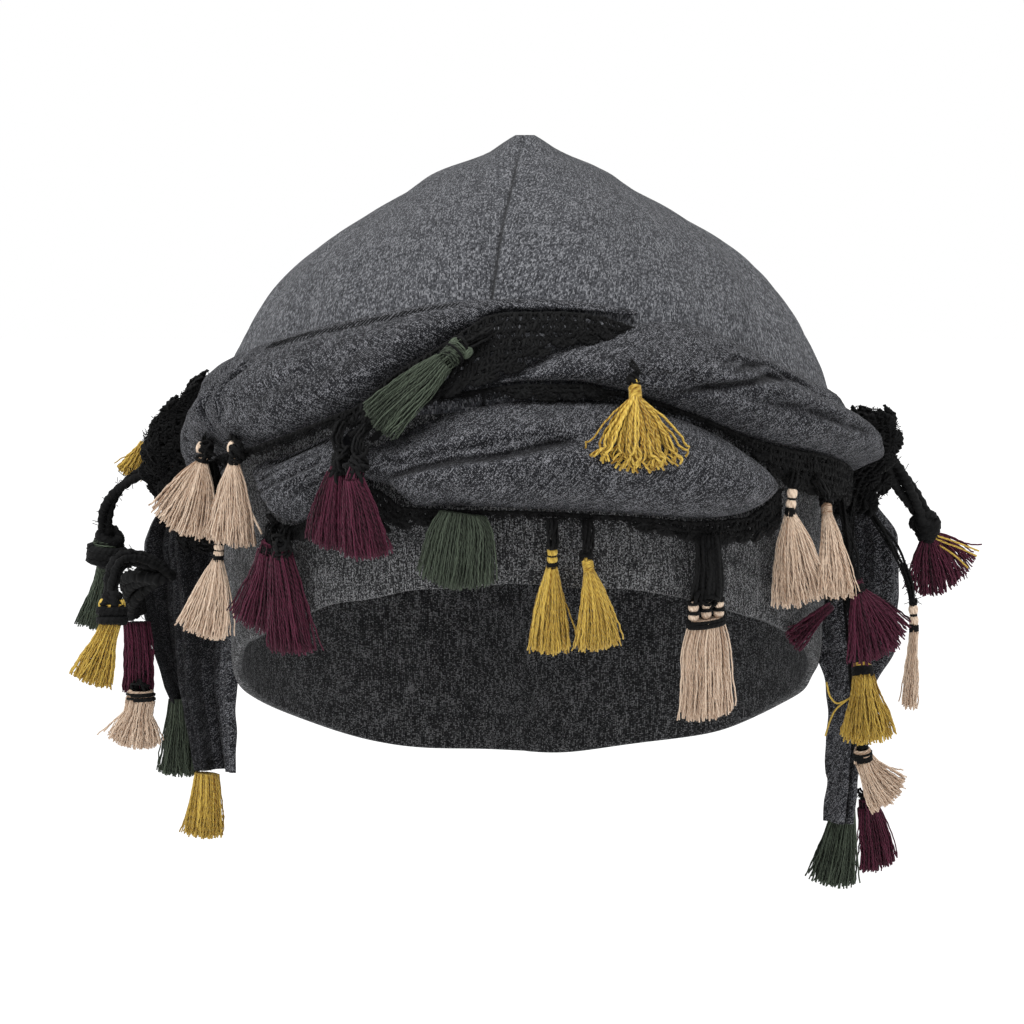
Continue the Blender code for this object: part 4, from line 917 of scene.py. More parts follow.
def makeChains(place, length, widthAt, chance, rows, sides):
    # two yarns wound round each other along every row, in stretches where the lace reaches it
    look = crochetLook
    fine = np.linspace(0, length, int(length / look["chainStep"]))
    body = withoutFan(widthAt(fine))
    middle, outward, downward = look["chain"]
    groups = []
    for row in range(rows + 1):
        level = np.minimum(row * look["row"], body)
        reached = body >= (row - 0.65) * look["row"] if row else np.ones(len(fine), bool)
        for part in np.split(np.arange(len(fine)), np.nonzero(np.diff(reached.astype(int)))[0] + 1):
            if len(part) <= 6 or not reached[part[0]]:
                continue
            for start in (0.0, math.pi):
                turn = 2 * math.pi * fine[part] / look["chainTurn"] + start
                down, out = level[part] + downward * np.sin(turn), middle + outward * np.cos(turn)
                paths = place(fine[part][None], down[None], out[None]) + wobble(chance, 1, len(part), 0.00008)
                groups.append(tubes(paths, look["thick"] * 0.9, [chance.uniform(0.0, 0.9)], sides))
    return groups


def makeFans(place, length, widthAt, chance, sides):
    # spokes and a rim for each scallop of the free edge
    look = crochetLook
    number = max(1, int(round(length / look["scallop"])))
    half = 0.5 * length / number
    angles, ways = np.radians(np.linspace(-75.6, 75.6, look["spokes"])), np.linspace(0, 1, 4)
    arc = np.linspace(-0.5 * math.pi, 0.5 * math.pi, 15)
    bump = 0.0002 * np.cos(arc * 14)
    groups = []
    for index in range(number):
        middle = (index + 0.5) / number * length
        width = float(widthAt(np.array([middle]))[0])
        if width < look["fansFrom"]:
            continue
        base = withoutFan(width)
        drop = max(width - base, 0.0012) + 0.0004 + chance.uniform(-0.0003, 0.0004)
        along = middle + half * 0.98 * np.sin(angles)[:, None] * ways[None]
        down = base + drop * np.cos(angles)[:, None] ** 0.6 * ways[None]
        spokes = place(along, down, 0.0004 + chance.normal(0, 0.0002, (len(angles), 1)))
        thick = look["thick"] * (0.9 + 0.3 * ways)[None]
        groups.append(tubes(spokes, thick, chance.uniform(0.0, 1.0, len(angles)), sides))
        along, down = middle + (half + bump) * np.sin(arc), base + (drop + bump) * np.cos(arc)
        rim = place(along[None], down[None], 0.0005) + wobble(chance, 1, len(arc), 0.00012)
        groups.append(tubes(rim, look["thick"] * 0.95, [chance.uniform(0.0, 0.9)], sides))
    return groups


def makeHairs(place, length, widthAt, chance):
    # loose hairs that stand off the yarn
    look = crochetLook
    area = float(widthAt(np.linspace(0, length, 50)).mean()) * length / mm ** 2
    count = int(area * look["fuzz"])
    along = chance.uniform(0, length, count)
    # a draw below zero has no such power, and its hair comes out without size
    down = widthAt(along) * chance.uniform(-0.02, 1.0, count) ** 0.8
    heading, reach = chance.uniform(0, 6.3, count), chance.uniform(*look["hair"], count)
    ways = np.linspace(-1, 1, 4)[None]
    turn = heading[:, None] + chance.normal(0, 0.7, count)[:, None] * ways
    alongs = np.clip(along[:, None] + reach[:, None] * ways * np.cos(turn), 0, length)
    downs = np.clip(down[:, None] + reach[:, None] * ways * np.sin(turn), -0.0006, 1)
    outs = 0.0004 + chance.uniform(*look["hairLift"], count)[:, None] * (1 - ways ** 2)
    return [tubes(place(alongs, downs, outs), look["hairThick"], chance.uniform(0.2, 1.0, count), 3)]


def crochet(place, length, widthAt, seed, points=5, sides=5):
    # place turns a distance along, a distance down and a distance out into a point
    chance = np.random.default_rng(seed)
    groups, rows = makePosts(place, length, widthAt, chance, points, sides)
    groups += makeChains(place, length, widthAt, chance, rows, sides)
    groups += makeFans(place, length, widthAt, chance, sides)
    return groups + makeHairs(place, length, widthAt, chance)


laces = {
    "upperLace": {
        "node": "lace_upper",
        "shape": (  # azimuth, low edge, high edge, distance from the cap as a share of a roll's bulge
            (22.0, 0.664, 0.668, 0.08), (14.0, 0.655, 0.691, 0.22), (6.0, 0.648, 0.699, 0.38),
            (-1.0, 0.617, 0.699, 0.45), (-6.0, 0.590, 0.695, 0.45), (-10.0, 0.578, 0.674, 0.50),
            (-15.0, 0.556, 0.640, 0.55), (-19.0, 0.526, 0.615, 0.55), (-23.0, 0.503, 0.586, 0.50),
            (-27.0, 0.500, 0.545, 0.50), (-32.0, 0.510, 0.522, 0.50), (-40.0, 0.478, 0.490, 0.50),
            (-50.0, 0.448, 0.458, 0.45), (-62.0, 0.424, 0.434, 0.38), (-72.0, 0.392, 0.402, 0.30),
        ),
    },
    "rightLace": {
        "node": "lace_right",
        "shape": (
            (-15.0, 0.553, 0.560, 0.12), (-8.0, 0.562, 0.571, 0.20), (0.0, 0.562, 0.580, 0.24),
            (9.0, 0.561, 0.580, 0.24), (14.0, 0.558, 0.569, 0.20), (20.0, 0.548, 0.555, 0.18),
            (27.0, 0.525, 0.532, 0.16), (34.0, 0.498, 0.505, 0.16), (40.0, 0.462, 0.480, 0.20),
            (48.0, 0.405, 0.458, 0.26), (60.0, 0.370, 0.437, 0.26), (76.0, 0.345, 0.404, 0.24),
            (92.0, 0.318, 0.366, 0.20),
        ),
    },
    "lowerLace": {
        "node": "lace_lower",
        "shape": (
            (-49.0, 0.330, 0.344, 0.18), (-44.0, 0.309, 0.325, 0.22), (-37.0, 0.320, 0.346, 0.24),
            (-31.0, 0.335, 0.376, 0.24), (-25.0, 0.338, 0.400, 0.24), (-20.0, 0.342, 0.372, 0.26),
            (-13.0, 0.356, 0.371, 0.28), (0.0, 0.356, 0.369, 0.28), (13.0, 0.348, 0.361, 0.28),
            (23.0, 0.330, 0.350, 0.28), (30.0, 0.312, 0.343, 0.28), (38.0, 0.308, 0.343, 0.26),
            (43.0, 0.312, 0.360, 0.24), (48.0, 0.322, 0.388, 0.20),
        ),
    },
}


def makeLace(name, look):
    read = smoothTable(look["shape"])
    first, last = look["shape"][0][0], look["shape"][-1][0]
    fine = np.linspace(first, last, 400)
    low, _, _ = read(fine)
    steps = np.abs(np.diff(fine)) * perDegree(fine[1:], cap["height"] * low[1:])
    distance = np.concatenate([[0], np.cumsum(steps)])

    def place(along, down, out):
        azimuth = np.interp(along, distance, fine)
        _, high, stand = read(azimuth)
        base = rollLook["seat"] + rollLook["bulge"] * stand + 0.0006
        return onCap(azimuth, cap["height"] * high - down, base + out)

    def widthAt(along):
        low, high, _ = read(np.interp(along, distance, fine))
        return cap["height"] * (high - low)

    return yarnObject(name, crochet(place, distance[-1], widthAt, len(name)))


for laceName, laceData in laces.items():
    dressed(makeLace(laceName, laceData), yarns["black"], "lace", laceData["node"])

sideLaces = {
    "leftSideLace": {
        "node": "lace_left_side", "frills": 5,
        "shape": (  # height, azimuth, half its span in degrees, inner and outer millimetres from the cap
            (0.560, -97.0, 2.6, 1.7, 4.5), (0.515, -99.0, 4.2, 5.0, 14.5), (0.460, -101.0, 4.6, 7.0, 21.0),
            (0.390, -101.0, 4.6, 7.0, 22.8), (0.330, -101.0, 4.6, 5.0, 22.0), (0.280, -100.0, 4.2, 3.0, 17.0),
            (0.225, -100.0, 3.2, 3.0, 11.0),
        ),
    },
    "rightSideLace": {
        "node": "lace_right_side", "frills": 5,
        "shape": (
            (0.494, 98.0, 2.6, 8.0, 12.0), (0.470, 99.0, 4.0, 9.0, 19.0), (0.440, 100.0, 4.6, 9.0, 21.8),
            (0.405, 100.0, 4.4, 8.0, 20.5), (0.370, 101.0, 4.2, 5.0, 18.5), (0.330, 101.0, 4.2, 4.0, 17.5),
            (0.290, 101.0, 3.6, 3.0, 12.0),
        ),
    },
}
frillLook = {  # size, pitch, shift from frill to frill, then over what width it grows and how much at most
    "swing": (0.0012, 0.0029, 2.1, 0.008, 1.6),
    "ripple": (0.0009, 0.0047, 1.3, 0.010, 1.4),
    "shorter": 0.12, "lower": 0.06, "narrower": 0.22,  # the outermost frills against the middle one
}


def ruffle(along, down, frill, size, pitch, shift, width, most):
    return size * np.sin(along / pitch + shift * frill) * np.clip(down / width, 0, most)


def makeSideLace(name, look):
    # frills that run down the side with their fans pointing out
    read = smoothTable(look["shape"])
    top, bottom = [look["shape"][row][0] * cap["height"] for row in (0, -1)]
    groups = []
    for frill in range(look["frills"]):
        lay = (frill + 0.5) / look["frills"] * 2 - 1
        length = (top - bottom) * (1.0 - frillLook["shorter"] * abs(lay))
        start = top - (top - bottom) * frillLook["lower"] * abs(lay)

        def place(along, down, out, lay=lay, start=start, frill=frill):
            height = start - along
            azimuth, half, inner, _ = read(height / cap["height"])
            swing = ruffle(along, down, frill, *frillLook["swing"])
            ripple = ruffle(along, down, frill, *frillLook["ripple"])
            sway = lay * half * 0.9 + (out + swing) / perDegree(azimuth, height)
            height = height + 0.0006 * np.sin(along / 0.003 + frill)
            return onCap(azimuth + sway, height, inner * mm + down + ripple)

        def widthAt(along, start=start, lay=lay):
            _, _, inner, outer = read((start - along) / cap["height"])
            return np.maximum((outer - inner) * mm * (1 - frillLook["narrower"] * abs(lay)), 0.002)

        groups += crochet(place, length, widthAt, 70 + frill, 4, 4)
    return yarnObject(name, groups)


for laceName, laceData in sideLaces.items():
    dressed(makeSideLace(laceName, laceData), yarns["black"], "lace", laceData["node"])
print("lace made")


# The scarf's hanging ends

tails = {
    "leftTail": {
        "node": "tail_left", "azimuth": -110.0, "side": -1.0, "slant": 0.30, "roll": "upperRoll",
        "dark": 0.34,  # the share of the width from which it lies in shade
        "flat": (0.047, 0.072), "on": ["brow_band", "wrap_upper"],
        "shape": (  # drop, width, distance out, then degrees back
            (0.00, 1.15, 0.08, 0.0), (0.15, 1.32, 0.08, 0.0), (0.42, 1.32, 0.15, 0.5),
            (0.68, 1.04, 0.36, 1.5), (0.89, 0.90, 0.38, 2.0),
        ),
    },
    "rightTail": {
        "node": "tail_right", "azimuth": 110.0, "side": 1.0, "slant": 0.0, "roll": "rightRoll",
        "dark": 1.0,
        "flat": (0.050, 0.092), "on": ["brow_band", "wrap_right"],
        "shape": (
            (0.00, 0.85, 0.06, 0.0), (0.15, 1.25, 0.06, 0.0), (0.38, 1.30, 0.12, 0.5),
            (0.52, 1.08, 0.38, 1.2), (0.66, 0.56, 0.64, 1.8), (0.84, 0.34, 0.74, 2.5),
            (1.00, 0.29, 0.77, 3.0), (1.13, 0.26, 0.78, 3.2),
        ),
    },
}
tailLook = {
    "drop": 0.081, "width": 0.0215, "wall": 0.0016, "below": 0.0003,
    "foldDepth": 0.0064, "folds": 4, "twist": 69.0, "ripple": 0.00055,
    "swells": ((0.0004, 0.012, 5),), "swellAcross": 0.02, "swellDown": 0.08,
    "slantFrom": 0.62, "valleyShade": 0.7, "shade": 0.9,
}


def makeTail(name, look):
    # a gathered end: its width runs out from the cap and its folds run down
    low, _, _ = rollReaders[look["roll"]](np.array(look["azimuth"]))
    drops = np.linspace(0, look["shape"][-1][0], 90)
    drop, share = np.meshgrid(drops, np.linspace(0, 1, 110), indexing="ij")
    width, out, back = smoothTable(look["shape"])(drop)
    width, middle = tailLook["width"] * width, look["azimuth"] + look["side"] * back
    phase = math.pi * tailLook["folds"] * share + math.radians(tailLook["twist"]) * drop
    sway = 0.48 * tailLook["foldDepth"] * np.sin(phase) + tailLook["ripple"] * np.sin(4.3 * phase + 3 * drop)
    sway = sway + swells(share * tailLook["swellAcross"], drop * tailLook["swellDown"], tailLook["swells"])
    slant = 1 - look["slant"] * np.clip((share - tailLook["slantFrom"]) / (1 - tailLook["slantFrom"]), 0, 1)
    height = cap["height"] * float(low) - tailLook["below"] - tailLook["drop"] * drop * slant
    metre = perDegree(middle, height)
    reach = rollLook["seat"] + tailLook["width"] * out + width * share
    slope = np.gradient(sway, axis=1) / np.maximum(np.gradient(reach, axis=1), 1e-6)
    length = np.hypot(1, slope)
    sides = []
    for half in (0.5 * tailLook["wall"], -0.5 * tailLook["wall"]):
        away = np.maximum(reach - half * slope / length, rollLook["seat"])
        sides.append(onCap(middle + (sway + half / length) / metre, height, away))
    # painted shade in the folds' valleys and over the width's outer part
    valleys, shaded = np.clip(-np.sin(phase), 0, 1) ** 2, np.clip((share - look["dark"]) / 0.12, 0, 1)
    deep = np.maximum(tailLook["valleyShade"] * valleys, tailLook["shade"] * shaded)
    rings = np.concatenate([sides[0], sides[1][:, ::-1]], axis=1)
    return cloth(name, rings, np.concatenate([deep, 0 * deep], axis=1))


for tailName, tailData in tails.items():
    tail = dressed(makeTail(tailName, tailData), scarf, "scarf", tailData["node"])
print("scarf ends made")


# The tassels: node, then in millimetres the root, the threads' middle, the head's top and foot, the skirt's
# middle, its tips, half its width and half its thickness
tassels = (
    ("tassel_01_green", (-8.8, -96.1, 99), (-12.2, -97.7, 97), (-15.8, -99.2, 95), (-20.2, -101.8, 91.4),
     (-31.3, -103.5, 81.8), (-37, -101.1, 76.1), (4.1, -2.8, -3.5), 2.1),
    ("tassel_02_plum", (-46.4, -94.3, 75.8), (-46.9, -97.8, 72.1), (-45.4, -98.2, 68.4), (-46.9, -98, 63.8),
     (-49.2, -94.8, 52.1), (-49.7, -91.8, 45.1), (4.9, -1.9, -1.3), 1.9),
    ("tassel_03_plum", (-40, -98.4, 75.2), (-41.5, -102.9, 71.5), (-41.2, -104.1, 67.8),
     (-42.4, -106.3, 63), (-40.3, -103.1, 50.7), (-39.2, -101.1, 43.3), (5.5, -1.6, -0.1), 1.9),
    ("tassel_04_beige", (-83.3, -44.3, 69.1), (-82.7, -48.6, 67.6), (-82.2, -52.6, 67.1),
     (-83.3, -52.7, 63.2), (-87.1, -50.1, 51.6), (-89.9, -48.3, 44.9), (9.1, -4.2, -3.5), 2.1),
    ("tassel_05_beige", (-75.9, -57.5, 70.0), (-74.5, -63.7, 69.2), (-73.2, -69, 68.3),
     (-74.3, -68.2, 64.1), (-75.3, -65, 50.8), (-75.8, -62.9, 42.9), (6.6, -2.8, 0.0), 2.1),
    ("tassel_06_beige", (-82.7, -48.8, 62.7), (-79.3, -48.4, 51.3), (-79.4, -49.9, 41.4),
     (-79.7, -49.7, 37.5), (-82.2, -49.1, 24.7), (-84.3, -48.6, 17.8), (7.3, -4.5, -1.6), 1.9),
    ("tassel_07_plum", (-65.0, -72.1, 48.6), (-64.9, -73.4, 46.7), (-64.9, -73.3, 44.7),
     (-65.6, -70.9, 41.4), (-68.3, -64.5, 29.2), (-70.4, -60.6, 21.5), (5.5, -2.0, -2.9), 2.1),
    ("tassel_08_plum", (-61.4, -78, 48.7), (-61.4, -78, 46.6), (-61.4, -77.6, 44.8), (-61.7, -76.6, 41.2),
     (-60.2, -73.3, 25.5), (-59.3, -71.2, 16.3), (6.2, -2.1, 0.0), 2.1),
    ("tassel_09_green", (-15.6, -102.5, 57.0), (-15.6, -103.2, 56.2), (-15.5, -104.0, 55.6),
     (-15.6, -104.6, 54.2), (-16.8, -104.8, 43.8), (-17.8, -103.8, 35.9), (9.9, -1.6, 0.2), 1.9),
    ("tassel_10_mustard", (6.4, -106.9, 53.1), (6.5, -106.3, 47.6), (6.4, -104.7, 45.6),
     (6.4, -103.6, 41.1), (5.9, -100.8, 27.6), (5.7, -98.9, 19.4), (5.4, 0.6, 0), 1.9),
    ("tassel_11_mustard", (15.4, -105.6, 52.5), (15.2, -105.1, 47.3), (14.8, -103.6, 44.3),
     (15.5, -104.5, 39.9), (17.4, -106.3, 28), (17.7, -104, 20.8), (5.8, 1.4, 0.6), 1.9),
    ("tassel_12_mustard", (25.9, -99.8, 91.6), (26.9, -104.5, 89.6), (26.5, -105.2, 87.6),
     (26.8, -108.4, 82.9), (26.9, -113.6, 71.6), (26.9, -115.7, 63.9), (12.6, 5.1, 2.0), 1.9),
    ("tassel_13_beige", (45.8, -92.3, 47.5), (45.8, -90, 38.1), (45.2, -86.8, 30.6), (45.3, -86, 25.9),
     (45.5, -83.3, 9.5), (45.6, -81.6, 0.7), (6.8, 3.3, 0.7), 2.1),
    ("tassel_14_beige", (69.7, -69.8, 61.7), (68.7, -69.8, 59.7), (67.9, -70.3, 57.7), (67.2, -70.5, 51.1),
     (69.6, -65.8, 36.3), (71.4, -63, 28.0), (8.1, 2.8, 0.7), 1.9),
    ("tassel_15_beige", (75.5, -60.1, 59.4), (76.8, -56.6, 56.0), (77.6, -52.5, 53.4), (77.7, -55.4, 49.7),
     (79.3, -63.4, 37.1), (79.9, -65.7, 29.6), (4.6, 2.8, 1.0), 1.9),
    ("tassel_16_plum", (83.8, -39.6, 52.0), (84.6, -43.3, 40.6), (86.0, -46.8, 32.0), (86.5, -46.3, 28.6),
     (91.4, -45.1, 17.9), (93.8, -44.3, 12.1), (9.5, 6.7, 3.2), 2.1),
    ("tassel_17_plum", (80, -50.6, 55.6), (78.7, -43.6, 40.2), (80.5, -36.7, 25.4), (79.6, -41.1, 24.1),
     (73.1, -49.6, 19.8), (69.2, -54.3, 16.7), (1.7, 0.4, -2.4), 1.7),
    ("tassel_18_plum", (100.9, 20.8, 58.5), (104.0, 24.6, 51.5), (110.7, 30.3, 40.8), (111.9, 31, 36.6),
     (115.5, 32.5, 26.9), (117.3, 33.4, 21.0), (11.5, 5.8, 0.2), 1.9),
    ("tassel_19_mustard", (89.9, -3.7, 49.3), (87, -10.8, 27.3), (89.9, -18.5, 6.8), (90.1, -19.2, 3.4),
     (91.4, -20.7, -7.9), (91.9, -21.6, -14.3), (7.7, 3.5, 1.1), 2.3),
    ("tassel_20_beige", (89.7, 1.8, 48.6), (87.6, -2.7, 14.8), (91.0, -7.4, -17.9), (91.3, -6.6, -21.0),
     (96.1, -5.2, -28.3), (99.7, -4.4, -32.2), (5.0, 4.6, 4.2), 2.1),
    ("tassel_21_plum", (95.9, 49.1, -37.3), (95.7, 49, -39.3), (96.7, 48.9, -39.8), (97.3, 49.9, -42.5),
     (99.8, 51.8, -54.0), (100.8, 53, -60.5), (5.9, 3.1, -0.2), 2.1),
    ("tassel_22_green", (90.0, 46.7, -36.9), (90.0, 46.6, -38.0), (90.3, 46.6, -38.9), (90.5, 45.5, -40.2),
     (87.9, 43.3, -56.3), (86.4, 42.1, -63.5), (7.0, 3.2, -1.4), 2.1),
    ("tassel_23_beige", (97.2, 21.2, 45.5), (103.0, 18, 30.6), (106.6, 16.5, 18.6), (106.9, 16.5, 11.4),
     (106.2, 16.4, -1.0), (105.7, 16.4, -9.6), (2.3, 0.9, -0.1), 1.7),
    ("tassel_24_mustard", (-102.5, 22.3, 64.4), (-104.3, 34.9, 63.0), (-105.6, 47.3, 61.5),
     (-106.6, 48.5, 60.3), (-109.5, 49.8, 54.9), (-111.9, 50.6, 51.4), (-3.4, 0.3, 2.2), 1.7),
    ("tassel_25_green", (-103.1, 22.4, 57.2), (-112.7, 24.4, 48.8), (-115.4, 29, 35.6),
     (-116.1, 29.5, 28.9), (-118.8, 30.9, 17.6), (-120.6, 31.7, 10.8), (-4.1, -0.2, 0.6), 2.1),
    ("tassel_26_mustard", (-100.2, 18.8, 26.9), (-109.6, 13.1, 30.8), (-112.4, 6.5, 20.0),
     (-112.4, 6.2, 15.1), (-116.2, 5.4, 4.7), (-118.4, 4.9, -1.5), (-5.3, -1.5, 2.7), 2.1),
    ("tassel_27_plum", (-100.8, 18.4, 26.7), (-106.9, 26, 23.7), (-108.7, 36.3, 14.2), (-108.4, 36.4, 11.4),
     (-107.7, 36.6, -1.0), (-107.8, 36.7, -8.3), (-4.5, 0.1, 0.0), 2.1),
    ("tassel_28_beige", (-107.4, 35.8, -2.0), (-107.2, 35.3, -5.0), (-107.1, 34.6, -7.5),
     (-107.1, 34.6, -10.0), (-108.5, 34.6, -18.2), (-109.4, 34.7, -23.5), (-7.7, -0.6, 0.1), 2.1),
    ("tassel_29_green", (-96.3, 44, -8.1), (-96.3, 44, -9.3), (-96.3, 43.9, -10.1), (-96.3, 43.3, -11.2),
     (-96.9, 42.5, -25.5), (-97.1, 41.9, -32.2), (-6.0, 1.0, -0.1), 2.1),
    ("tassel_30_mustard", (-88.7, 37.7, -28.2), (-88.7, 37.6, -29.0), (-89.0, 37.6, -29.9),
     (-89.0, 37.9, -31.4), (-89.7, 38.4, -43.9), (-90.3, 38.7, -49.3), (-5.7, 1.0, -0.2), 2.1),
)

tasselLook = {
    "strands": 150, "thick": 0.00022, "crimp": 0.00013, "bend": 0.0005, "stray": 0.08,
    "spread": (0.50, 0.80, 1.02),  # widths above the middle, below it and at the tips
    "curl": 0.0,  # radius of looped ends
    "head": "wound", "headWide": 0.0016, "winding": 3, "neck": 0.0012,
    "threads": 7, "thread": 0.00036, "sunk": 0.0015, "bumps": 0.0,
}
# what sets a tassel apart from the plain one above
tasselWays = {
    "tassel_01_green": {
        "head": "loops", "winding": 1, "neck": 0.0026, "headWide": 0.0026, "spread": (0.74, 0.90, 1.0),
    },
    "tassel_02_plum": {"head": "knot", "threads": 9, "neck": 0.0022, "spread": (0.66, 0.88, 1.02)},
    "tassel_03_plum": {"head": "knot", "threads": 9, "neck": 0.0022, "spread": (0.66, 0.88, 1.02)},
    "tassel_04_beige": {"head": "bead", "threads": 8, "strands": 190},
    "tassel_05_beige": {"head": "bead", "threads": 8, "strands": 160},
    "tassel_06_beige": {"head": "beads", "threads": 8},
    "tassel_07_plum": {"neck": 0.0026, "strands": 130},
    "tassel_08_plum": {"head": "knot", "neck": 0.0030, "strands": 170, "spread": (0.68, 0.88, 1.02)},
    "tassel_09_green": {
        "head": "none", "threads": 0, "neck": 0.0058, "strands": 190, "spread": (0.80, 0.92, 1.0),
    },
    "tassel_10_mustard": {"head": "beads", "threads": 8},
    "tassel_11_mustard": {"head": "tied", "threads": 8},
    "tassel_12_mustard": {
        "head": "tied", "threads": 2, "strands": 66, "thick": 0.00038, "bend": 0.0009, "crimp": 0.00022,
        "curl": 0.0010, "spread": (0.44, 0.78, 1.0),
    },
    "tassel_13_beige": {
        "head": "beadRow", "threads": 14, "thread": 0.00045, "neck": 0.0044, "strands": 190,
        "spread": (0.86, 0.92, 1.0),
    },
    "tassel_14_beige": {"head": "beads", "threads": 8, "strands": 170},
    "tassel_15_beige": {"head": "tied", "threads": 9, "strands": 110},
    "tassel_16_plum": {"threads": 5, "strands": 170, "neck": 0.0018},
    "tassel_17_plum": {"head": "none", "threads": 4, "strands": 70},
    "tassel_18_plum": {
        "head": "knot", "threads": 4, "strands": 170, "thread": 0.00115, "sunk": 0.002, "neck": 0.0018,
        "bumps": 0.12,
    },
    "tassel_19_mustard": {"threads": 6, "winding": 5, "neck": 0.0028, "headWide": 0.0024},
    "tassel_20_beige": {"threads": 5, "neck": 0.0026, "headWide": 0.0022},
    "tassel_21_plum": {"threads": 3, "neck": 0.0030, "spread": (0.66, 0.84, 1.0)},
    "tassel_22_green": {
        "head": "none", "threads": 3, "neck": 0.0026, "spread": (0.60, 0.84, 1.0), "strands": 180,
    },
    "tassel_23_beige": {"head": "beads", "threads": 5, "strands": 60, "sunk": 0.004},
    "tassel_24_mustard": {"head": "none", "threads": 3, "strands": 110, "neck": 0.0016, "sunk": 0.003},
    "tassel_25_green": {
        "head": "drum", "threads": 2, "thread": 0.00120, "headWide": 0.0042, "neck": 0.0032, "sunk": 0.003,
        "bumps": 0.12,
    },
    "tassel_26_mustard": {
        "head": "loops", "threads": 3, "thread": 0.00135, "winding": 2, "sunk": 0.002, "neck": 0.0026,
        "headWide": 0.0030, "bumps": 0.12,
    },
    "tassel_27_plum": {
        "head": "none", "threads": 5, "thread": 0.00150, "sunk": 0.002, "neck": 0.0038,
        "spread": (0.86, 0.94, 1.0), "bumps": 0.12,
    },
    "tassel_28_beige": {"threads": 3, "winding": 2, "neck": 0.0040, "headWide": 0.0036, "strands": 190},
    "tassel_29_green": {
        "head": "none", "threads": 4, "neck": 0.0036, "spread": (0.72, 0.88, 1.0), "strands": 190,
    },
    "tassel_30_mustard": {
        "head": "none", "threads": 3, "neck": 0.0034, "spread": (0.74, 0.90, 1.0), "strands": 170,
    },
}
# single threads that have come loose: colour, the tassel they belong to, thickness and the way they lie
looseThreads = (
    ("beige", "tassel_05_beige", 0.00030,
     (-73.8, -67, 63.5), (-72.1, -67, 57.4), (-70.1, -67, 51.3), (-67.3, -67, 45.6)),
    ("mustard", "tassel_19_mustard", 0.00026,
     (80.2, -22, 1.9), (81.0, -21.8, -1.9), (83.0, -21.6, -4.3), (87.2, -21.2, -2.2)),
    ("mustard", "tassel_19_mustard", 0.00026,
     (87.4, -21.2, -1.8), (82.6, -21.6, -5.4), (81.1, -21.8, -8.8), (80.0, -22, -12.6)),
    ("mustard", "tassel_18_plum", 0.00026,
     (112.4, 30, 36.1), (116.8, 30, 34.1), (120.7, 30, 32.8), (125.4, 30, 30.5)),
    ("mustard", "tassel_18_plum", 0.00026,
     (112.2, 31, 34.9), (116.4, 31, 32.7), (119.7, 31, 30.4), (123.1, 31, 27.1)),
    ("mustard", "tassel_18_plum", 0.00026,
     (112.8, 29, 36.7), (117.8, 29, 35.1), (122.3, 29, 33.4), (125.9, 29, 32)),
)


def discSpots(count, chance):
    # even places in a disc, each a little off
    index = np.arange(count) + 0.5
    reach = np.sqrt(index / count)
    angle = index * 2.39996  # the golden angle
    return np.stack([reach * np.cos(angle), reach * np.sin(angle)], 1) + chance.normal(0, 0.05, (count, 2))


def throughThree(first, second, third, at, ways):
    # a bent line that passes the second point at a share of its length
    parts = (ways - at) * (ways - 1) / at, ways * (ways - 1) / (at * (at - 1)), ways * (ways - at) / (1 - at)
    return sum(point[None] * part[:, None] for point, part in zip((first, second, third), parts))


def ringAround(centre, axis, side, radius, turns, rise, start, squash=1.0):
    # yarn wound round an axis
    angle = np.linspace(start, start + 2 * math.pi * turns, int(12 * turns) + 2)
    other = np.cross(axis, side) * squash
    way = np.linspace(-0.5, 0.5, len(angle))
    around = side * np.cos(angle)[:, None] + other * np.sin(angle)[:, None]
    return centre + radius * around + axis * rise * way[:, None]


def bead(top, foot, side, radius, chance, thick):
    # a lump of coloured yarn that bulges between two ties
    count = 12
    other = np.cross(unit(foot - top), side)
    angle = (2 * math.pi * (np.arange(count) + chance.uniform(0, 1)) / count)[:, None, None]
    ways = np.linspace(0, 1, 7)
    reach = (radius - thick) * (0.35 + 0.65 * np.sin(math.pi * ways) ** 0.7)
    around = side * np.cos(angle) + other * np.sin(angle)
    paths = top + (foot - top) * ways[None, :, None] + around * reach[None, :, None]
    return tubes(paths, thick, chance.uniform(0.75, 1.1, count))


def tie(centre, axis, side, radius, chance, thick, turns=2.2, rise=0.0009, squash=1.0):
    path = ringAround(centre, axis, side, radius, turns, rise, chance.uniform(0, 6), squash)
    return tubes(path[None], thick, [chance.uniform(0.0, 0.8)])


def knotOf(centre, axis, side, radius, chance, thick, loops):
    # a lump of yarn tied over itself
    groups = []
    for _ in range(loops):
        lean = unit(axis + chance.normal(0, 0.8, 3))
        across = unit(np.cross(lean, side + chance.normal(0, 0.2, 3)))
        size = radius * chance.uniform(0.45, 0.95)
        middle = centre + chance.normal(0, 0.22, 3) * radius
        path = ringAround(middle, lean, across, size, 1.1, 0.0006, chance.uniform(0, 6))
        path = path + wobble(chance, 1, len(path), 0.00012)[0]
        groups.append(tubes(path[None], thick * chance.uniform(0.9, 1.3), [chance.uniform(0.0, 1.0)]))
    return groups


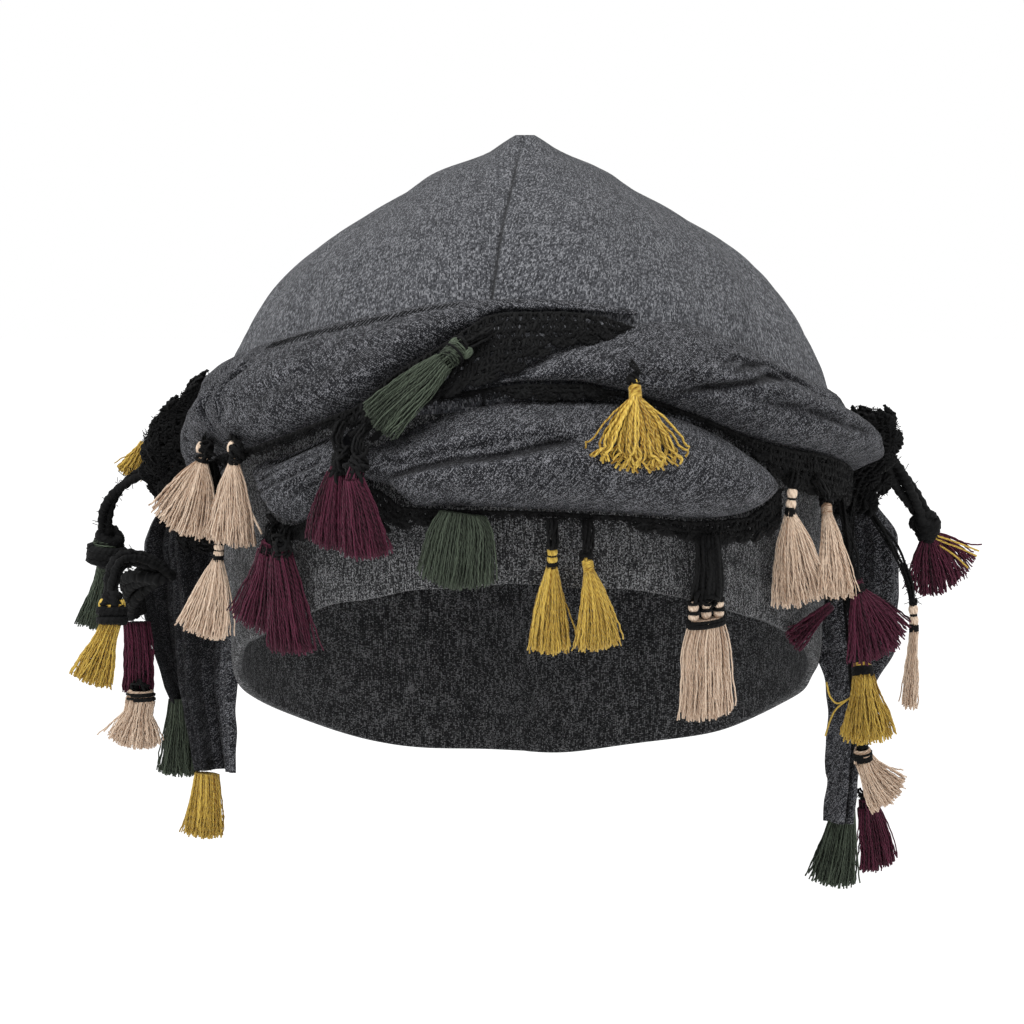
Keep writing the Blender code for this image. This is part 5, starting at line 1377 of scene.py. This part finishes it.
def makeHead(look, top, foot, side, chance):
    # the head between the threads and the skirt; gives the coloured yarns and the black ones
    own, dark = [], []
    axis = unit(foot - top)
    long = float(np.linalg.norm(foot - top))
    kind, wide, wind, thick = look["head"], look["headWide"], look["thread"], look["thick"]

    def at(share):
        return top + axis * long * share

    def knot(centre, size, loops, yarn=wind):
        dark.extend(knotOf(centre, axis, side, size, chance, yarn, loops))

    def tieDark(centre, radius, *turns, yarn=wind):
        dark.append(tie(centre, axis, side, radius, chance, yarn, *turns))

    def tieOwn(centre, radius, yarn, *turns):
        own.append(tie(centre, axis, side, radius, chance, yarn, *turns))

    def lump(start, length, radius, yarn):
        own.append(bead(start, start + axis * length, side, radius, chance, yarn))

    if kind == "bead":
        knot(at(0.30), 0.0022, 12)
        knot(at(0.75), 0.0017, 8)
        shift = side * 0.0019 * (1 if chance.uniform() < 0.5 else -1)
        lump(top + shift - axis * 0.0004, 0.0026, 0.0010, 0.00035)
        tieDark(foot, look["neck"])
    elif kind == "beads":
        for share in (0.0, 0.42):
            lump(at(share), long * 0.42, 0.0014, 0.00040)
            tieDark(at(share), 0.0008, 1.8, 0.0005)
        for share in (0.86, 1.0):
            tieDark(at(share), 0.0011)
        knot(top - axis * 0.0008, 0.0012, 4)
    elif kind == "beadRow":
        for column in (-1, 0, 1):
            for level in (0, 1):
                drop = 0.0025 * level - 0.0002 + 0.0003 * abs(column)
                start = top + side * column * 0.0036 + axis * drop
                lump(start, 0.0021, 0.0014, 0.00042)
                tieDark(start, 0.0013, 1.4, 0.0003, yarn=wind * 0.9)
        for level in (0.0049, 0.0056, 0.0062):
            tieDark(top + axis * level, 0.0052, 1.2, 0.0004, 0.50)
        knot(top - axis * 0.0008, 0.0026, 8)
    elif kind == "knot":
        for share, size in ((0.05, 0.0022), (0.45, 0.0026), (0.85, 0.0022)):
            knot(at(share), size, 11, wind * 1.1)
    elif kind == "tied":
        for share in (0.55, 0.75, 0.95):
            tieOwn(at(share), look["neck"], thick * 1.3)
        knot(at(0.2), 0.0015, 7)
    elif kind in ("wound", "drum", "loops"):
        layers = 9 if kind == "wound" else 7
        for turn in range(layers):
            share = 0.12 + 0.86 * turn / layers
            bulge = wide * (0.82 + 0.18 * math.sin(math.pi * share))
            tieOwn(at(share), bulge, thick * 1.35, 1.3, 0.0005)
        for turn in range(look["winding"]):
            share = 0.45 + 0.5 * turn / max(look["winding"] - 1, 1)
            tieDark(at(share), wide * 1.1, 1.3, 0.0006)
        knot(top, wide * 0.75, 6)
        if kind == "loops":
            for shift in (-0.8, 0.8):
                lump(top + side * wide * shift - axis * 0.0010, 0.0030, 0.0014, thick * 1.5)
    if kind not in ("beadRow", "none"):
        start = at(0.5 if kind in ("bead", "beads", "knot") else 0.15)
        own.append(strandTops(look, start, foot, side, axis, chance))
    return own, dark


def strandTops(look, start, foot, side, axis, chance):
    # the strands' own tops, drawn together under the tie
    count, ways = 26, np.linspace(0, 1, 4)
    spots = discSpots(count, chance)
    spread = look["neck"] * (0.8 + 0.2 * ways)
    offsets = (side * spots[:, :1] + np.cross(axis, side) * spots[:, 1:])[:, None] * spread[None, :, None]
    paths = start + (foot + axis * 0.001 - start) * ways[None, :, None] + offsets
    return tubes(paths, look["thick"] * 1.1, chance.uniform(0.2, 0.8, count), 4)


skirtLook = {
    "middleAt": 0.6,  # the share of the way at which a skirt passes its middle point
    "cut": 0.03, "cutLimits": (-0.12, 0.045),  # how unevenly the tips are cut, as shares of the length
    "crimpPitch": (2.2, 3.6), "strayBy": (0.0006, 0.0022),
    "depths": ((0.26, 0.80), (0.62, 0.95), (1.0, 0.80)), "neckDepth": 0.0024,
    "tones": (0.62, 0.22),
}


def makeSkirt(look, foot, skirt, tips, wide, thin, chance):
    # fine crimped strands that spread from the neck, cut about level
    run = unit(tips - foot)
    side = unit(wide - run * float(wide @ run))
    face = np.cross(run, side)
    halfWide, length = float(np.linalg.norm(wide)), float(np.linalg.norm(tips - foot))
    count, ways = look["strands"], np.linspace(0, 1, 13)
    middle = throughThree(foot, skirt, tips, skirtLook["middleAt"], ways)
    spots = discSpots(count, chance)
    early, mid, end = look["spread"]
    widths = smoothTable(((0.0, min(look["neck"] / halfWide, early)), (0.26, early), (0.62, mid), (1.0, end)))
    depths = smoothTable(((0.0, min(look["neck"], skirtLook["neckDepth"]) / thin), *skirtLook["depths"]))
    sideways, deep = spots[:, :1] * halfWide, spots[:, 1:] * thin
    rise = (length - np.sqrt(np.maximum(length ** 2 - sideways ** 2, 0))) * ways[None] ** 1.5
    cut = np.clip(chance.normal(0, skirtLook["cut"], (count, 1)), *skirtLook["cutLimits"])
    cut = cut * length * ways[None] ** 2 - rise
    paths = (middle[None] + side * (sideways * widths(ways)[0][None])[..., None]
             + face * (deep * depths(ways)[0][None])[..., None] + run * cut[..., None])
    phases = chance.uniform(0, 6.3, (count, 2))
    lengths = chance.uniform(*skirtLook["crimpPitch"], (count, 2)) * mm
    slow = chance.normal(0, 1, (count, 2))
    free = np.clip(ways * 3, 0, 1)[None]
    for axis, column in ((side, slice(0, 1)), (face, slice(1, 2))):
        turn = 2 * math.pi * ways[None] * length / lengths[:, column] + phases[:, column]
        crimp = look["crimp"] * np.sin(turn) * free
        lean = look["bend"] * slow[:, column] * np.sin(ways[None] * 4 + phases[:, column]) * ways[None]
        paths = paths + axis * (crimp + lean)[..., None]
    strays = chance.uniform(0, 1, count) < look["stray"]
    lift = np.where(strays, chance.uniform(*skirtLook["strayBy"], count), 0.0) * np.sign(slow[:, 0])
    paths = paths + side * (lift[:, None] * ways[None] ** 2)[..., None]
    if look["curl"]:  # looped ends
        turn = np.clip((ways - 0.70) / 0.30, 0, 1)[None] * 3.6 * np.sign(slow[:, :1])
        paths = paths + look["curl"] * (side * np.sin(turn)[..., None] - run * (1 - np.cos(turn))[..., None])
    thick = look["thick"] * chance.uniform(0.75, 1.15, (count, 1)) * (1.08 - 0.16 * ways[None])
    tones = np.clip(chance.normal(*skirtLook["tones"], count), 0.0, 1.0)
    return [tubes(paths, thick, tones, 4)]


threadLook = {
    "turn": 0.011, "link": 0.0023, "rowHalf": 0.0038, "rowUneven": 0.0008,
    "hairStep": 0.00035, "hairHalf": 0.0012, "hairBow": 0.0007, "hairThick": 0.00011,
}


def makeThreads(look, root, thread, top, chance):
    # the black threads that a tassel hangs on; thick ones are chained, with even bumps
    number, thick, chained = look["threads"], look["thread"], look["bumps"] > 0
    ways = np.linspace(0, 1, 44 if chained else 14)
    start = root - unit(root * np.array([1.0, 1.0, 0.0])) * look["sunk"]
    line = throughThree(start, thread, top, 0.5, ways)
    span = float(np.linalg.norm(top - start))
    if look["head"] == "beadRow":  # side by side
        columns = np.linspace(-1, 1, number)[:, None, None] * threadLook["rowHalf"]
        one, two = np.array([1.0, 0.0, 0.0]), np.array([0.0, 1.0, 0.0])
        offsets = one * columns * (0.75 + 0.25 * ways)[None, :, None]
        offsets = offsets + two * chance.uniform(-1, 1, (number, 1, 1)) * threadLook["rowUneven"]
    else:  # in a bundle that turns
        along = unit(top - start)
        one = unit(np.cross(along, np.array([0.31, -0.83, 0.47])))
        two = np.cross(along, one)
        spots = discSpots(number, chance)
        spread = thick * (0.8 if chained else 1.15) * math.sqrt(number) * (1 + 0.3 * np.sin(math.pi * ways))
        turn = ways[None] * span / threadLook["turn"]
        cosine, sine = np.cos(turn), np.sin(turn)
        offsets = (one * (spots[:, :1] * cosine - spots[:, 1:] * sine)[..., None]
                   + two * (spots[:, :1] * sine + spots[:, 1:] * cosine)[..., None]) * spread[None, :, None]
    paths = line[None] + offsets + wobble(chance, number, len(ways), 0.00006 if chained else 0.00014)
    links = 2 * math.pi * ways[None] * span / threadLook["link"] + chance.uniform(0, 6, (number, 1))
    radii = thick * chance.uniform(0.8, 1.15, (number, 1)) * (1 + look["bumps"] * np.sin(links))
    threads = tubes(paths, radii, chance.uniform(0.0, 1.0, number), 7 if chained else 5)
    hairs = int(span / threadLook["hairStep"])
    places = chance.uniform(0, 1, hairs)
    spot = np.stack([np.interp(places, ways, line[:, index]) for index in range(3)], 1)
    heading = unit(chance.normal(0, 1, (hairs, 3)))
    spot = spot + heading * thick * (1.1 * math.sqrt(number) - 0.2)
    bow = chance.normal(0, 1, (hairs, 3)) * threadLook["hairBow"]
    reach = np.linspace(-1, 1, 5)[None, :, None]
    paths = spot[:, None] + heading[:, None] * reach * threadLook["hairHalf"] + bow[:, None] * reach ** 2
    return [threads, tubes(paths, threadLook["hairThick"], chance.uniform(0, 1, hairs), 3)]


def makeTassel(name, *points):
    root, thread, top, foot, skirt, tips, wide = [np.array(point) * mm for point in points[:7]]
    look = {**tasselLook, **tasselWays[name]}
    _, number, colour = name.split("_")
    chance = np.random.default_rng(int(number) * 7 + 1)
    axis = unit(foot - top)
    side = unit(wide - axis * float(wide @ axis))
    own, dark = makeHead(look, top, foot, side, chance)
    own += makeSkirt(look, foot, skirt, tips, wide, points[7] * mm, chance)
    if look["threads"]:
        dark += makeThreads(look, root, thread, top, chance)
    dressed(yarnObject("tassel" + number + "Yarn", own), yarns[colour], colour, name)
    if dark:
        dressed(yarnObject("tassel" + number + "Threads", dark), yarns["black"], "lace", name)


def makeLoose(name, thick, points):
    # a line through the points with its bends smoothed
    way, spots = np.linspace(0, 1, 16), np.array(points) * mm
    line = np.stack([np.interp(way, np.linspace(0, 1, len(spots)), spots[:, axis]) for axis in range(3)], 1)
    for _ in range(3):
        line[1:-1] = 0.25 * line[:-2] + 0.5 * line[1:-1] + 0.25 * line[2:]
    return yarnObject(name, [tubes(line[None], thick, [0.8])])


for tasselRow in tassels:
    makeTassel(*tasselRow)
for number, (colour, owner, thick, *points) in enumerate(looseThreads):
    dressed(makeLoose("loose" + str(number), thick, points), yarns[colour], colour, owner)
print("tassels made")
